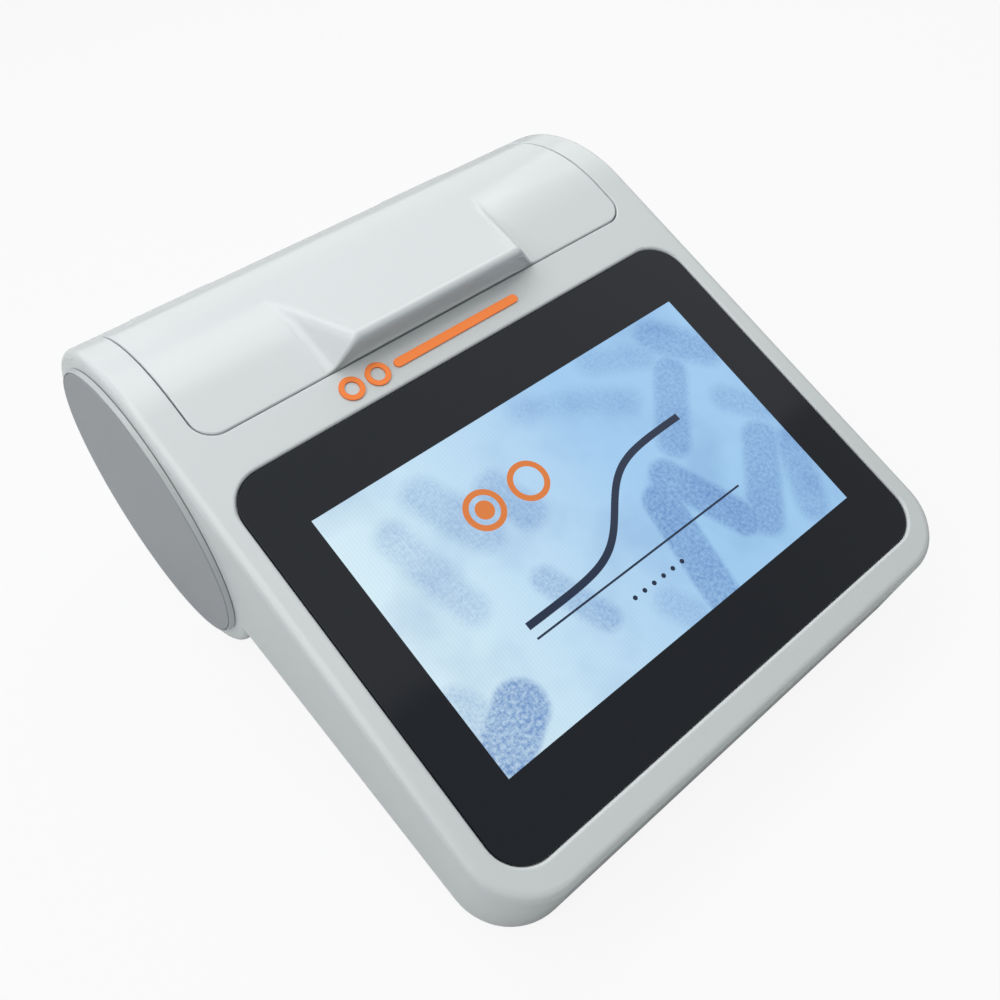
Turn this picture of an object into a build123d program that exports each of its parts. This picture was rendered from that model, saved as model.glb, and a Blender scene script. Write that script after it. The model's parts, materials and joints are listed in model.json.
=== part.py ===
from build123d import *
import os
from math import sin, cos, tan, atan2, sqrt, dist, radians, degrees

# A bench fluorometer with an inclined display deck, a barrel at the back and a curved lid in the barrel.
# Millimetres. X runs along the barrel, +Y points to the back and +Z up. The origin lies on the table,
# under the middle of the part's outer box.

# Overall form
HOUSING_WIDTH = 200.0
BARREL_RADIUS = 56.0
DECK_TILT = 25.5
UNDERSIDE_TILT = 16.0
DECK_LENGTH = 175.9
FOOT_HEIGHT = 2.0
WALL = 2.4
FIT_GAP = 0.25
LIP_WALL = 1.2
LIP_ROOT = 4.0
TOP_EDGE_RADIUS = 3.0
FRONT_CORNER_RADIUS = 20.5

# Display, measured down the deck from the line where the deck leaves the barrel
SCREEN_FORWARD = 98.3
PRINT_SIDE_MARGIN = 16.0
SCREEN_HEIGHT = 91.44
GLASS_SIDE_MARGIN = 7.8
GLASS_HEIGHT = 135.1
GLASS_CORNER_RADIUS = 12.0
GLASS_THICKNESS = 1.8
GLASS_SINK = 0.6
GLASS_GAP = 0.3
GASKET_THICKNESS = 0.3
RECESS_LEDGE = 2.0
RECESS_LIP_RADIUS = 1.0
FRAME_MARGIN = 5.0
PANEL_BORDER = 5.8
PANEL_THICKNESS = 2.2
TRAY_DEPTH = 6.0
TRAY_WALL = 0.6
TRAY_GAP = 0.2
BRACKET_THICKNESS = 1.2
BRACKET_SCREW_BITE = 1.4
INLAY_FORWARD = 23.2
INLAY_THICKNESS = 0.5

# Lid
LID_SIDE_MARGIN = 12.3
LID_LEAD = 15.22
SEAM_GAP = 0.5
OPENING_LIP_RADIUS = 0.4
LID_WALL = 2.2
LID_SKIRT = 6.0
LID_CORNER_RADIUS = 7.5
LID_EDGE_RADIUS = 0.6
LIFT_ANGLE = 25.0
GRIP_BASE = 42.0
GRIP_LIP_RADIUS = 2.4
SCOOP_DEPTH = 2.6
RAMP_ANGLE = 57.0
RAMP_FOOT_RADIUS = 4.6
RAMP_END_RISE = 0.03
SCOOP_START = 1.6
SHOULDER_BLEND = 3.5
ROOM_STOP = 3.0
RAMP_STEPS = 12
OUTLINE_STEPS = 14
MAGNET_INSET = 15.7
MAGNET_RADIUS = 3.0
MAGNET_THICKNESS = 2.5
KEEPER_THICKNESS = 1.2
LINER_WALL = 1.5
LINER_GAP = 0.45
HOOD_WIDTH = 84.0
HOOD_LENGTH = 46.0
HOOD_WALL = 1.6
SEAL_HEIGHT = 2.0
RUN_GAP = 0.3

# Hinge of the lid
HINGE_ANGLE = 35.0
HINGE_PROUD = 1.2
HINGE_SPACING = 110.0
KNUCKLE_RADIUS = 3.4
KNUCKLE_LENGTH = 8.0
LID_KNUCKLE_LENGTH = 14.0
PIN_RADIUS = 1.25
PIN_CLEARANCE = 0.05
KNUCKLE_ARM = 8.0

# Sample chamber
WELL_DECK_Z = 26.0
WELL_DECK_THICKNESS = 2.0
LEDGE_THICKNESS = 2.4
LEDGE_SIDE = 22.0
LEDGE_DEPTH = 6.0
RIDGE_HEIGHT = 3.0
RIDGE_WALL = 2.0
WELL_SPACING = 28.0
WELL_RADIUS = 4.1
WELL_STRAIGHT = 14.0
WELL_CONE = 12.0
WELL_TIP_RADIUS = 2.2
DECK_HOLE_RADIUS = 6.0
BLOCK_WIDTH = 62.0
BLOCK_LENGTH = 34.0
BLOCK_HEIGHT = 38.0
BEAM_DROP = 20.0
BEAM_RADIUS = 2.0
FILTER_RADIUS = 5.0
FILTER_THICKNESS = 2.0
LENS_RADIUS = 4.6
LENS_THICKNESS = 2.4
BOARD_THICKNESS = 1.6

# End covers
END_HOLE_RADIUS = 44.0
COLLAR_ROOT_RADIUS = 50.3
COLLAR_RIM_RADIUS = 49.9
COLLAR_THICKNESS = 1.75
COLLAR_SEAT = 1.0
SHADOW_GAP = 0.25
SHADOW_DEPTH = 1.7
SPIGOT_LENGTH = 5.0
SPIGOT_WALL = 2.0
END_PLATE_RADIUS = 49.2
END_PLATE_THICKNESS = 1.0
PLATE_GAP = 0.3

# Fasteners, main board and sockets
SCREW_RADIUS = 1.5
SCREW_HEAD_RADIUS = 2.8
SCREW_HEAD_HEIGHT = 2.0
SCREW_HOLE_RADIUS = 1.7
SCREW_PILOT_RADIUS = 1.5
BOSS_RADIUS = 4.0
CUP_HEIGHT = 5.0
BASE_SCREW_INSET = 9.0
BASE_SCREW_BACKS = (16.0, 118.0)
BELLY_SCREW_INSET = 23.0
BELLY_SCREW_Y = 24.0
BOARD_WIDTH = 140.0
BOARD_LENGTH = 84.0
BOARD_BACK = 72.0
STANDOFF_HEIGHT = 8.0
POCKET_WIDTH = 72.0
POCKET_LOW = -34.0
POCKET_HIGH = -9.0
POCKET_FLOOR_Y = 42.0
SWITCH_X = -22.0
SWITCH_WIDTH = 13.0
SWITCH_HEIGHT = 19.0
SWITCH_DEPTH = 13.0
BEZEL_MARGIN = 1.0
BEZEL_THICKNESS = 1.8
ROCKER_WIDTH = 9.6
ROCKER_HALF_HEIGHT = 7.4
ROCKER_PIVOT = -3.0
ROCKER_TILT = 8.0
INLET_X = 5.0
INLET_RADIUS = 4.0
USB_X = 22.0
USB_WIDTH = 13.1
USB_HEIGHT = 5.7
PORT_BOARD_Y = 30.0
PORT_STAND_XS = (-6.0, 34.5)
PORT_STAND_RADIUS = 3.0

# Feet and vents in the underside
FOOT_INSET = 30.0
FOOT_WIDTH = 26.0
FRONT_FOOT_BACKS = (5.0, 19.0)
REAR_FOOT_YS = (4.0, 20.0)
VENT_XS = (-26.0, 26.0)
VENT_BACKS = (58.0, 65.0, 72.0, 79.0, 86.0)
VENT_LENGTH = 38.0
VENT_WIDTH = 2.4

HALF_WIDTH = HOUSING_WIDTH / 2
GLASS_WIDTH = HOUSING_WIDTH - 2 * GLASS_SIDE_MARGIN
SCREEN_WIDTH = GLASS_WIDTH - 2 * PRINT_SIDE_MARGIN
LID_WIDTH = HOUSING_WIDTH - 2 * LID_SIDE_MARGIN
MAGNET_X = LID_WIDTH / 2 - MAGNET_INSET
BASE_SCREW_X = HALF_WIDTH - BASE_SCREW_INSET
BELLY_SCREW_X = HALF_WIDTH - BELLY_SCREW_INSET
FOOT_X = HALF_WIDTH - FOOT_INSET
DECK_NORMAL = 90 + DECK_TILT
DOWN_DECK = 180 + DECK_TILT
UP_FRONT = 90 + UNDERSIDE_TILT
FRONT_NORMAL = 180 + UNDERSIDE_TILT
UNDER_NORMAL = 270 + UNDERSIDE_TILT
RIM_WALL = WALL - 0.2
GLASS_LOW = -(GLASS_SINK + GLASS_THICKNESS)
FRAME_LOW = GLASS_LOW - GASKET_THICKNESS - RECESS_LEDGE
TRAY_LOW = GLASS_LOW - TRAY_GAP - TRAY_DEPTH
RIDGE_TOP = WELL_DECK_Z + WELL_DECK_THICKNESS + RIDGE_HEIGHT
SEAL_LOW = RIDGE_TOP + RUN_GAP
POCKET_MIDDLE = (POCKET_LOW + POCKET_HIGH) / 2


# Side view: points are (y, z) from the barrel's axis, and angles turn from +Y towards +Z

def polar(angle, radius, start=(0.0, 0.0)):
    a = radians(angle)
    return (start[0] + radius * cos(a), start[1] + radius * sin(a))


def meet(p, p_angle, q, q_angle):
    """Point where two lines cross, each given by a point and its direction."""
    px, py = polar(p_angle, 1)
    qx, qy = polar(q_angle, 1)
    t = ((q[0] - p[0]) * qy - (q[1] - p[1]) * qx) / (px * qy - py * qx)
    return (p[0] + t * px, p[1] + t * py)


def deck_point(forward, outward=0.0):
    """Point on or above the deck, forward from the line where it leaves the barrel."""
    return polar(DOWN_DECK, forward, polar(DECK_NORMAL, BARREL_RADIUS + outward))


FRONT_TOP = deck_point(DECK_LENGTH)
FRONT_BOTTOM = meet(FRONT_TOP, UP_FRONT, (0.0, -BARREL_RADIUS), 0.0)


def front_corner(inset):
    wall = polar(FRONT_NORMAL, -inset, FRONT_TOP)
    return meet(deck_point(0, -inset), DOWN_DECK, wall, UP_FRONT)


def under_point(back, height=0.0):
    """Point above the underside plane, back from the front wall's foot."""
    return polar(UP_FRONT, height, polar(UNDERSIDE_TILT, back, FRONT_BOTTOM))


def chord(radius, height):
    """Front and rear points where a plane above the underside cuts a circle round the barrel's axis."""
    low = under_point(0, height)
    n = polar(UNDER_NORMAL, 1)
    depth = low[0] * n[0] + low[1] * n[1]
    foot = polar(UNDER_NORMAL, depth)
    half = sqrt(radius**2 - depth**2)
    return polar(180 + UNDERSIDE_TILT, half, foot), polar(UNDERSIDE_TILT, half, foot)


# The outer box is centred on the origin, so the barrel stands back by half of what the deck reaches out
FRONT_REACH = TOP_EDGE_RADIUS - front_corner(TOP_EDGE_RADIUS)[0]
BARREL_Y = (FRONT_REACH - BARREL_RADIUS) / 2
BARREL_Z = FOOT_HEIGHT + BARREL_RADIUS
FLOOR = -BARREL_Z
SIDE = Plane(origin=(0, BARREL_Y, BARREL_Z), x_dir=(0, 1, 0), z_dir=(1, 0, 0))


def world(x, point):
    return Vector(x, BARREL_Y + point[0], BARREL_Z + point[1])


def tilted_plane(x, point, normal_angle):
    n = polar(normal_angle, 1)
    return Plane(origin=world(x, point), x_dir=(1, 0, 0), z_dir=(0, n[0], n[1]))


def deck_plane(forward, outward=0.0, x=0.0):
    """Plane along the deck: its x is the barrel's direction, its y points up the slope."""
    return tilted_plane(x, deck_point(forward, outward), DECK_NORMAL)


def under_plane(back, height=0.0, x=0.0):
    return tilted_plane(x, under_point(back, height), UP_FRONT)


def level_plane(y=0.0, z=0.0, x=0.0):
    return tilted_plane(x, (y, z), 90)


def side_extrude(face, x0, x1):
    return extrude(SIDE.offset(x0) * face, x1 - x0)


def side_polygon(points, x0, x1):
    return side_extrude(make_face(Polyline(*points, close=True)), x0, x1)


def tube(plane, radius, height, bore=0.0):
    """Cylinder that stands on a plane, with a through bore if one is given."""
    outline = Circle(radius) - Circle(bore) if bore else Circle(radius)
    return extrude(plane * outline, height)


def plate(plane, width, length, height, corner=0.0):
    outline = RectangleRounded(width, length, corner) if corner else Rectangle(width, length)
    return extrude(plane * outline, height)


def side_disc(x0, x1, centre, radius):
    return side_extrude(Pos(*centre) * Circle(radius), x0, x1)


def both_sides(shape):
    return [shape, mirror(shape, Plane.YZ)]


def screw(plane, length):
    """Pan-head screw: the plane lies under its head, and its normal points from the tip to the head."""
    head = extrude(plane * Circle(SCREW_HEAD_RADIUS), SCREW_HEAD_HEIGHT)
    top = head.faces().sort_by_distance(plane.offset(10 * SCREW_HEAD_HEIGHT).origin)[0]
    head = fillet(top.edges(), 0.8)
    shank = extrude(plane * Circle(SCREW_RADIUS), -length)
    drive = extrude(plane.offset(SCREW_HEAD_HEIGHT) * RegularPolygon(1.2, 6), -1.0)
    return head + shank - drive


# Outer form, moved inwards by an inset: the shell is the body at no inset less the body at one wall

def upper_body(inset, drop=0.0):
    """Deck and barrel above the underside plane, or above a plane that lies lower by the drop."""
    radius = BARREL_RADIUS - inset
    half = HALF_WIDTH - inset
    start = polar(DECK_NORMAL, radius)
    front_top = front_corner(inset)
    front_low = meet(front_top, UP_FRONT, under_point(0, -drop), UNDERSIDE_TILT)
    rear = chord(radius, -drop)[1]
    rear_angle = degrees(atan2(rear[1], rear[0]))
    arc = ThreePointArc(rear, polar((DECK_NORMAL + rear_angle) / 2, radius), start)
    face = make_face(Polyline(start, front_top, front_low, rear) + arc)
    body = extrude(SIDE * face, half, both=True)
    corners = body.edges().filter_by(lambda e: is_front_corner(e, half))
    body = fillet(corners, FRONT_CORNER_RADIUS - inset)
    rim = body.edges().filter_by(lambda e: is_top_rim(e, radius, drop))
    return fillet(rim, max(TOP_EDGE_RADIUS - inset, 0.6))


def is_front_corner(edge, half):
    up = polar(UP_FRONT, 1)
    return abs(abs(edge.center().X) - half) < 0.01 and abs((edge % 0.5).dot(Vector(0, *up))) > 0.999


def is_top_rim(edge, radius, drop):
    """Edges that run round the top skin: along the deck, round its front, and over the barrel's ends."""
    middle = edge @ 0.5
    y, z = middle.Y - BARREL_Y, middle.Z - BARREL_Z
    down = polar(DOWN_DECK, 1)
    up = polar(DECK_NORMAL, 1)
    forward = y * down[0] + z * down[1]
    height = y * up[0] + z * up[1] if forward > 0 else sqrt(y**2 + z**2)
    along_x = abs((edge % 0.5).X) > 0.999
    on_skin = abs(height - radius) < 0.01
    return on_skin and (not along_x or forward > DECK_LENGTH / 2)


def belly_body(inset, rise=0.0):
    """Lower part of the barrel, below the underside plane or below a plane that lies higher by the rise."""
    radius = BARREL_RADIUS - inset
    front, rear = chord(radius, rise)
    face = make_face(ThreePointArc(front, polar(UNDER_NORMAL, radius), rear) + Line(rear, front))
    body = extrude(SIDE * face, HALF_WIDTH - inset, both=True)
    rims = body.edges().filter_by(lambda e: e.geom_type == GeomType.CIRCLE)
    return fillet(rims, max(TOP_EDGE_RADIUS - inset, 0.6))


def under_layer(low, high):
    """Slab between two planes above the underside, larger than the part."""
    return extrude(under_plane(0, low) * Rectangle(3 * HOUSING_WIDTH, 6 * DECK_LENGTH), high - low)


# Chamber opening: the seam in the skin, straight walls down to the ledge that carries the well deck

def chamber_body(grow, floor, top=40.0):
    """Space inside the seam, its walls moved outwards by the growth, down to a level floor."""
    lead = LID_LEAD + SEAM_GAP + grow
    half = LID_WIDTH / 2 + SEAM_GAP + grow
    front_high = deck_point(lead, top)
    front_low = meet(front_high, DECK_NORMAL, (0, floor), 0)
    rear_start = polar(HINGE_ANGLE - 90, SEAM_GAP / 2 + grow, polar(HINGE_ANGLE, BARREL_RADIUS))
    rear_high = polar(HINGE_ANGLE, top, rear_start)
    rear_low = meet(rear_start, HINGE_ANGLE, (0, floor), 0)
    crown = (0, BARREL_RADIUS + top)
    body = side_polygon([front_high, front_low, rear_low, rear_high, crown], -half, half)
    up = Vector(0, *polar(DECK_NORMAL, 1))
    corners = body.edges().filter_by(lambda e: abs((e % 0.5).dot(up)) > 0.999)
    return fillet(corners, LID_CORNER_RADIUS + SEAM_GAP + grow)


def ledge_span():
    """Front and rear of the chamber's floor, where the well deck lies."""
    lead = LID_LEAD + SEAM_GAP
    front = meet(deck_point(lead), DECK_NORMAL, (0, WELL_DECK_Z), 0)
    rear = meet((0, 0), HINGE_ANGLE, (0, WELL_DECK_Z), 0)
    return front[0], rear[0]


def chamber_walls():
    """Walls and ledge that hang from the skin round the opening."""
    shell = chamber_body(RIM_WALL, WELL_DECK_Z - LEDGE_THICKNESS) & upper_body(0)
    front, rear = ledge_span()
    length = rear - front - 2 * LEDGE_DEPTH
    width = LID_WIDTH - 2 * LEDGE_SIDE
    hole = plate(level_plane((front + rear) / 2, 0), width, length, WELL_DECK_Z + 1, LEDGE_DEPTH)
    return shell - chamber_body(0, WELL_DECK_Z) - hole


# Hinge of the lid: places are given along the skin towards the front and outwards from the skin

def hinge_point(ahead, outward):
    return polar(HINGE_ANGLE + 90, ahead, polar(HINGE_ANGLE, BARREL_RADIUS + outward))


HINGE_AXIS = hinge_point(0, HINGE_PROUD)


def knuckle(x, length, side):
    """Barrel of the hinge with the arm that runs into the skin; side is 1 on the lid, -1 on the housing."""
    top = (0, HINGE_PROUD + KNUCKLE_RADIUS)
    toe = (side * KNUCKLE_ARM, -0.2)
    heel = (side * KNUCKLE_ARM, -LID_WALL / 2)
    root = (side * SEAM_GAP, -LID_WALL)
    arm = [hinge_point(*p) for p in (top, toe, heel, root, (0, HINGE_PROUD))]
    x0, x1 = x - length / 2, x + length / 2
    return side_polygon(arm, x0, x1) + side_disc(x0, x1, HINGE_AXIS, KNUCKLE_RADIUS)


def housing_knuckle_xs(x):
    step = (LID_KNUCKLE_LENGTH + KNUCKLE_LENGTH) / 2 + RUN_GAP
    return (x - step, x + step)


def hinge_xs():
    return (-HINGE_SPACING / 2, HINGE_SPACING / 2)


def knuckle_notch(x, length):
    reach = length / 2 + RUN_GAP
    return side_disc(x - reach, x + reach, HINGE_AXIS, KNUCKLE_RADIUS + RUN_GAP)


# Lid: one side-view outline serves the plain ends, the grip and the ramps between them

def lid_point(back, up):
    return polar(DECK_TILT, back, polar(DECK_NORMAL, up))


def flat_height(back, radius):
    """Height of the grip's flat, which leaves the barrel as a tangent and rises to the front."""
    lift = radians(LIFT_ANGLE)
    return (radius - back * sin(lift)) / cos(lift)


def grip_height(back, rise, radius):
    """Height of the lid's outline where a ramp lets it stand by the given rise above the plain lid."""
    level = radius if back < 0 else sqrt(radius**2 - back**2)
    flat = flat_height(back, radius)
    blend = min(SHOULDER_BLEND, rise)
    if blend <= 0:
        return level
    overlap = max(blend - abs(flat - level - rise), 0)
    return min(flat, level + rise) - overlap**2 / (4 * blend)


def full_rise(inset):
    """Rise from which on the outline is the plain flat up to the lip."""
    radius = BARREL_RADIUS - inset
    return flat_height(inset - LID_LEAD, radius) - radius + SHOULDER_BLEND


def ramp_rise(x, inset):
    """Rise of the ramp beside the grip: a steady slope with a concave foot."""
    half_slope = tan(radians(RAMP_ANGLE / 2))
    foot = RAMP_FOOT_RADIUS + inset
    toe = foot * half_slope
    d = GRIP_BASE - inset * half_slope - x
    if d > toe * cos(radians(RAMP_ANGLE)):
        return d * tan(radians(RAMP_ANGLE))
    reach = d + toe
    return foot - sqrt(foot**2 - reach**2) if reach > 1e-6 else 0.0


def grip_span(inset):
    """Places along the barrel where the ramp begins at the flat and where it ends in the plain lid."""
    half_slope = tan(radians(RAMP_ANGLE / 2))
    flat_end = GRIP_BASE - inset * half_slope - full_rise(inset) / tan(radians(RAMP_ANGLE))
    return flat_end, GRIP_BASE + RAMP_FOOT_RADIUS * half_slope


def lid_outline(inset, rise, skirt, rear_angle):
    """Outline that follows the barrel, rises to the front as far as the ramp lets it, and ends in the lip."""
    radius = BARREL_RADIUS - inset
    front = inset - LID_LEAD
    share = (grip_height(front, rise, radius) - radius) / (flat_height(front, radius) - radius)
    lip = max(LID_EDGE_RADIUS + (GRIP_LIP_RADIUS - LID_EDGE_RADIUS) * share - inset, 0.4)
    back, step = front + lip, 0.05
    slope = (grip_height(back + step, rise, radius) - grip_height(back - step, rise, radius)) / (2 * step)
    centre = lid_point(back, grip_height(back, rise, radius) - lip * sqrt(1 + slope**2))
    leave = degrees(atan2(1, -slope))
    turn = DECK_TILT
    lip_top = polar(turn + leave, lip, centre)
    lip_mid = polar(turn + (leave + 180) / 2, lip, centre)
    lip_end = polar(turn + 180, lip, centre)
    scoop_low = lid_point(front, radius - 2 * max(LID_EDGE_RADIUS - inset, 0.4) + SCOOP_START * share)
    scoop = min(SCOOP_DEPTH * share, 0.28 * dist(lip_end, scoop_low)) + 0.004
    scoop_mid = polar(turn, scoop, ((lip_end[0] + scoop_low[0]) / 2, (lip_end[1] + scoop_low[1]) / 2))
    low = BARREL_RADIUS - skirt
    skirt_low = lid_point(front, low)
    start = polar(rear_angle, radius)
    end = polar(DECK_NORMAL - LIFT_ANGLE, radius)
    inner_top = polar(DECK_NORMAL, low)
    inner_end = polar(rear_angle, low)
    rear_back = radius * sin(radians(LIFT_ANGLE))
    lip_back = back + lip * cos(radians(leave))
    points = [end]
    for i in range(1, OUTLINE_STEPS):
        b = rear_back + (lip_back - rear_back) * i / OUTLINE_STEPS
        points.append(lid_point(b, grip_height(b, rise, radius)))
    points.append(lip_top)
    tangents = [polar(DOWN_DECK - LIFT_ANGLE, 1), polar(turn + leave + 90, 1)]
    shares = [i / OUTLINE_STEPS for i in range(OUTLINE_STEPS + 1)]
    return make_face([
        ThreePointArc(start, polar((rear_angle + DECK_NORMAL - LIFT_ANGLE) / 2, radius), end),
        Edge.make_spline([Vector(*p) for p in points], [Vector(*t) for t in tangents], parameters=shares),
        ThreePointArc(lip_top, lip_mid, lip_end),
        ThreePointArc(lip_end, scoop_mid, scoop_low),
        Line(scoop_low, skirt_low),
        Line(skirt_low, inner_top),
        ThreePointArc(inner_top, polar((DECK_NORMAL + rear_angle) / 2, low), inner_end),
        Line(inner_end, start),
    ])


def plain_lid_end(inset, skirt, rear_angle, x0, x1):
    """End stretch of the lid with its rounded corner and softened edge."""
    radius, low = BARREL_RADIUS - inset, BARREL_RADIUS - skirt
    front = inset - LID_LEAD
    start, top = polar(rear_angle, radius), polar(DECK_NORMAL, radius)
    inner_top, inner_end = polar(DECK_NORMAL, low), polar(rear_angle, low)
    middle = (DECK_NORMAL + rear_angle) / 2
    face = make_face([
        ThreePointArc(start, polar(middle, radius), top),
        Polyline(top, lid_point(front, radius), lid_point(front, low), inner_top),
        ThreePointArc(inner_top, polar(middle, low), inner_end),
        Line(inner_end, start),
    ])
    body = side_extrude(face, x0, x1)
    up = Vector(0, *polar(DECK_NORMAL, 1))
    tall = body.edges().filter_by(lambda e: abs((e % 0.5).dot(up)) > 0.999 and e.center().X > x1 - 0.01)
    body = fillet(tall, LID_CORNER_RADIUS - inset)
    lip = max(LID_EDGE_RADIUS - inset, 0.4)
    rim = body.edges().filter_by(lambda e: is_lid_rim(e, radius, x0))
    return fillet(rim, lip)


def is_lid_rim(edge, radius, x0):
    middle = edge @ 0.5
    y, z = middle.Y - BARREL_Y, middle.Z - BARREL_Z
    down, up = polar(DOWN_DECK, 1), polar(DECK_NORMAL, 1)
    forward = y * down[0] + z * down[1]
    height = y * up[0] + z * up[1] if forward > 0 else sqrt(y**2 + z**2)
    along_x = abs((edge % 0.5).X) > 0.999
    on_skin = abs(height - radius) < 0.01 and middle.X > x0 + 0.01
    return on_skin and (not along_x or forward > LID_LEAD / 2)


def grip_pieces(inset, skirt, rear_angle, ramp_end):
    """Flat grip and the ramp on each side of it, cut off square at the ramps' ends."""
    flat_end = grip_span(inset)[0]
    middle = side_extrude(lid_outline(inset, full_rise(inset), skirt, rear_angle), -flat_end, flat_end)
    stations = []
    for i in range(RAMP_STEPS + 1):
        x = flat_end + (ramp_end - flat_end) * i / RAMP_STEPS
        rise = max(ramp_rise(x, inset), RAMP_END_RISE)
        stations.append(SIDE.offset(x) * lid_outline(inset, rise, skirt, rear_angle))
    return [middle] + both_sides(loft(stations))


def joined(pieces):
    body = pieces[0]
    for piece in pieces[1:]:
        body += piece
    return body


def lid_rear_angle(gap):
    return HINGE_ANGLE + degrees(gap / BARREL_RADIUS)


def magnet_plane(x, outward):
    return deck_plane(LID_LEAD - 7.5, outward, x)


def make_lid_shell():
    rear, ramp_end = lid_rear_angle(SEAM_GAP / 2), grip_span(0)[1]
    end = plain_lid_end(0, LID_SKIRT, rear, ramp_end, LID_WIDTH / 2)
    lid = joined(grip_pieces(0, LID_SKIRT, rear, ramp_end) + both_sides(end))
    room_skirt, room_rear = LID_SKIRT + 4, HINGE_ANGLE - 6
    for room in both_sides(plain_lid_end(LID_WALL, room_skirt, room_rear, -1.0, LID_WIDTH / 2 - LID_WALL)):
        lid -= room
    lid -= joined(grip_pieces(LID_WALL, room_skirt, room_rear, ramp_end - ROOM_STOP))
    for x in (-MAGNET_X, MAGNET_X):
        lid += tube(magnet_plane(x, -LID_SKIRT), MAGNET_RADIUS + 1.2, LID_SKIRT - LID_WALL + 0.3)
        lid -= tube(magnet_plane(x, -LID_SKIRT), MAGNET_RADIUS, MAGNET_THICKNESS)
    for x in hinge_xs():
        for hx in housing_knuckle_xs(x):
            lid -= knuckle_notch(hx, KNUCKLE_LENGTH)
        lid += knuckle(x, LID_KNUCKLE_LENGTH, 1)
        lid -= side_disc(x - KNUCKLE_ARM, x + KNUCKLE_ARM, HINGE_AXIS, PIN_RADIUS + PIN_CLEARANCE)
    return lid


def make_lid_magnets():
    return [tube(magnet_plane(x, -LID_SKIRT), MAGNET_RADIUS, MAGNET_THICKNESS) for x in (-MAGNET_X, MAGNET_X)]


def make_keeper_plates():
    low = -LID_SKIRT - RUN_GAP - KEEPER_THICKNESS
    return [tube(magnet_plane(x, low), MAGNET_RADIUS, KEEPER_THICKNESS) for x in (-MAGNET_X, MAGNET_X)]


def keeper_shelves():
    top = -LID_SKIRT - RUN_GAP - KEEPER_THICKNESS
    plane = deck_plane(LID_LEAD - 5.0, top - 2.0)
    shelves = [plate(plane.offset(0) * Pos(x, 0), 10.0, 12.0, 2.0) for x in (-MAGNET_X, MAGNET_X)]
    return shelves


def liner_block(inset, depth):
    """Plain body under the lid, without the grip."""
    rear = HINGE_ANGLE + 14
    half = LID_WIDTH / 2 - inset
    outer, low = BARREL_RADIUS - inset, BARREL_RADIUS - depth
    front = inset - LID_LEAD
    middle = (DECK_NORMAL + rear) / 2
    face = make_face([
        ThreePointArc(polar(rear, outer), polar(middle, outer), polar(DECK_NORMAL, outer)),
        Polyline(polar(DECK_NORMAL, outer), lid_point(front, outer), lid_point(front, low),
                 polar(DECK_NORMAL, low)),
        ThreePointArc(polar(DECK_NORMAL, low), polar(middle, low), polar(rear, low)),
        Line(polar(rear, low), polar(rear, outer)),
    ])
    block = side_extrude(face, -half, half)
    up = Vector(0, *polar(DECK_NORMAL, 1))
    tall = block.edges().filter_by(lambda e: abs((e % 0.5).dot(up)) > 0.999 and e.length > 0.5)
    front_y = min(e.center().Y for e in tall)
    corners = tall.filter_by(lambda e: e.center().Y < front_y + 1)
    return fillet(corners, LID_CORNER_RADIUS - inset)


def hood_plane(z):
    front, rear = ledge_span()
    return level_plane((front + rear) / 2, z)


def make_lid_liner():
    inset = LID_WALL + LINER_GAP
    liner = liner_block(inset, inset + LINER_WALL)
    hood = extrude(hood_plane(SEAL_LOW + SEAL_HEIGHT)
                   * (RectangleRounded(HOOD_WIDTH, HOOD_LENGTH, 4)
                      - RectangleRounded(HOOD_WIDTH - 2 * HOOD_WALL, HOOD_LENGTH - 2 * HOOD_WALL, 4 - HOOD_WALL)),
                   BARREL_RADIUS)
    hood = hood & liner_block(inset + 0.2, BARREL_RADIUS * 0.7)
    liner += hood
    for x in (-MAGNET_X, MAGNET_X):
        liner -= tube(magnet_plane(x, -2 * LID_SKIRT), MAGNET_RADIUS + 1.2 + LINER_GAP, 3 * LID_SKIRT)
    return liner


def make_lid_seal():
    ring = (RectangleRounded(HOOD_WIDTH, HOOD_LENGTH, 4)
            - RectangleRounded(HOOD_WIDTH - 2 * HOOD_WALL, HOOD_LENGTH - 2 * HOOD_WALL, 4 - HOOD_WALL))
    return extrude(hood_plane(SEAL_LOW) * ring, SEAL_HEIGHT)


# Housing shells

def base_screw_places():
    return [(x, back) for x in (-BASE_SCREW_X, BASE_SCREW_X) for back in BASE_SCREW_BACKS]


def belly_screw_joint():
    """Level at which the upper and the lower long boss meet, above the parting plane."""
    return meet(under_point(0, CUP_HEIGHT), UNDERSIDE_TILT, (BELLY_SCREW_Y, 0), 90)[1]


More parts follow.
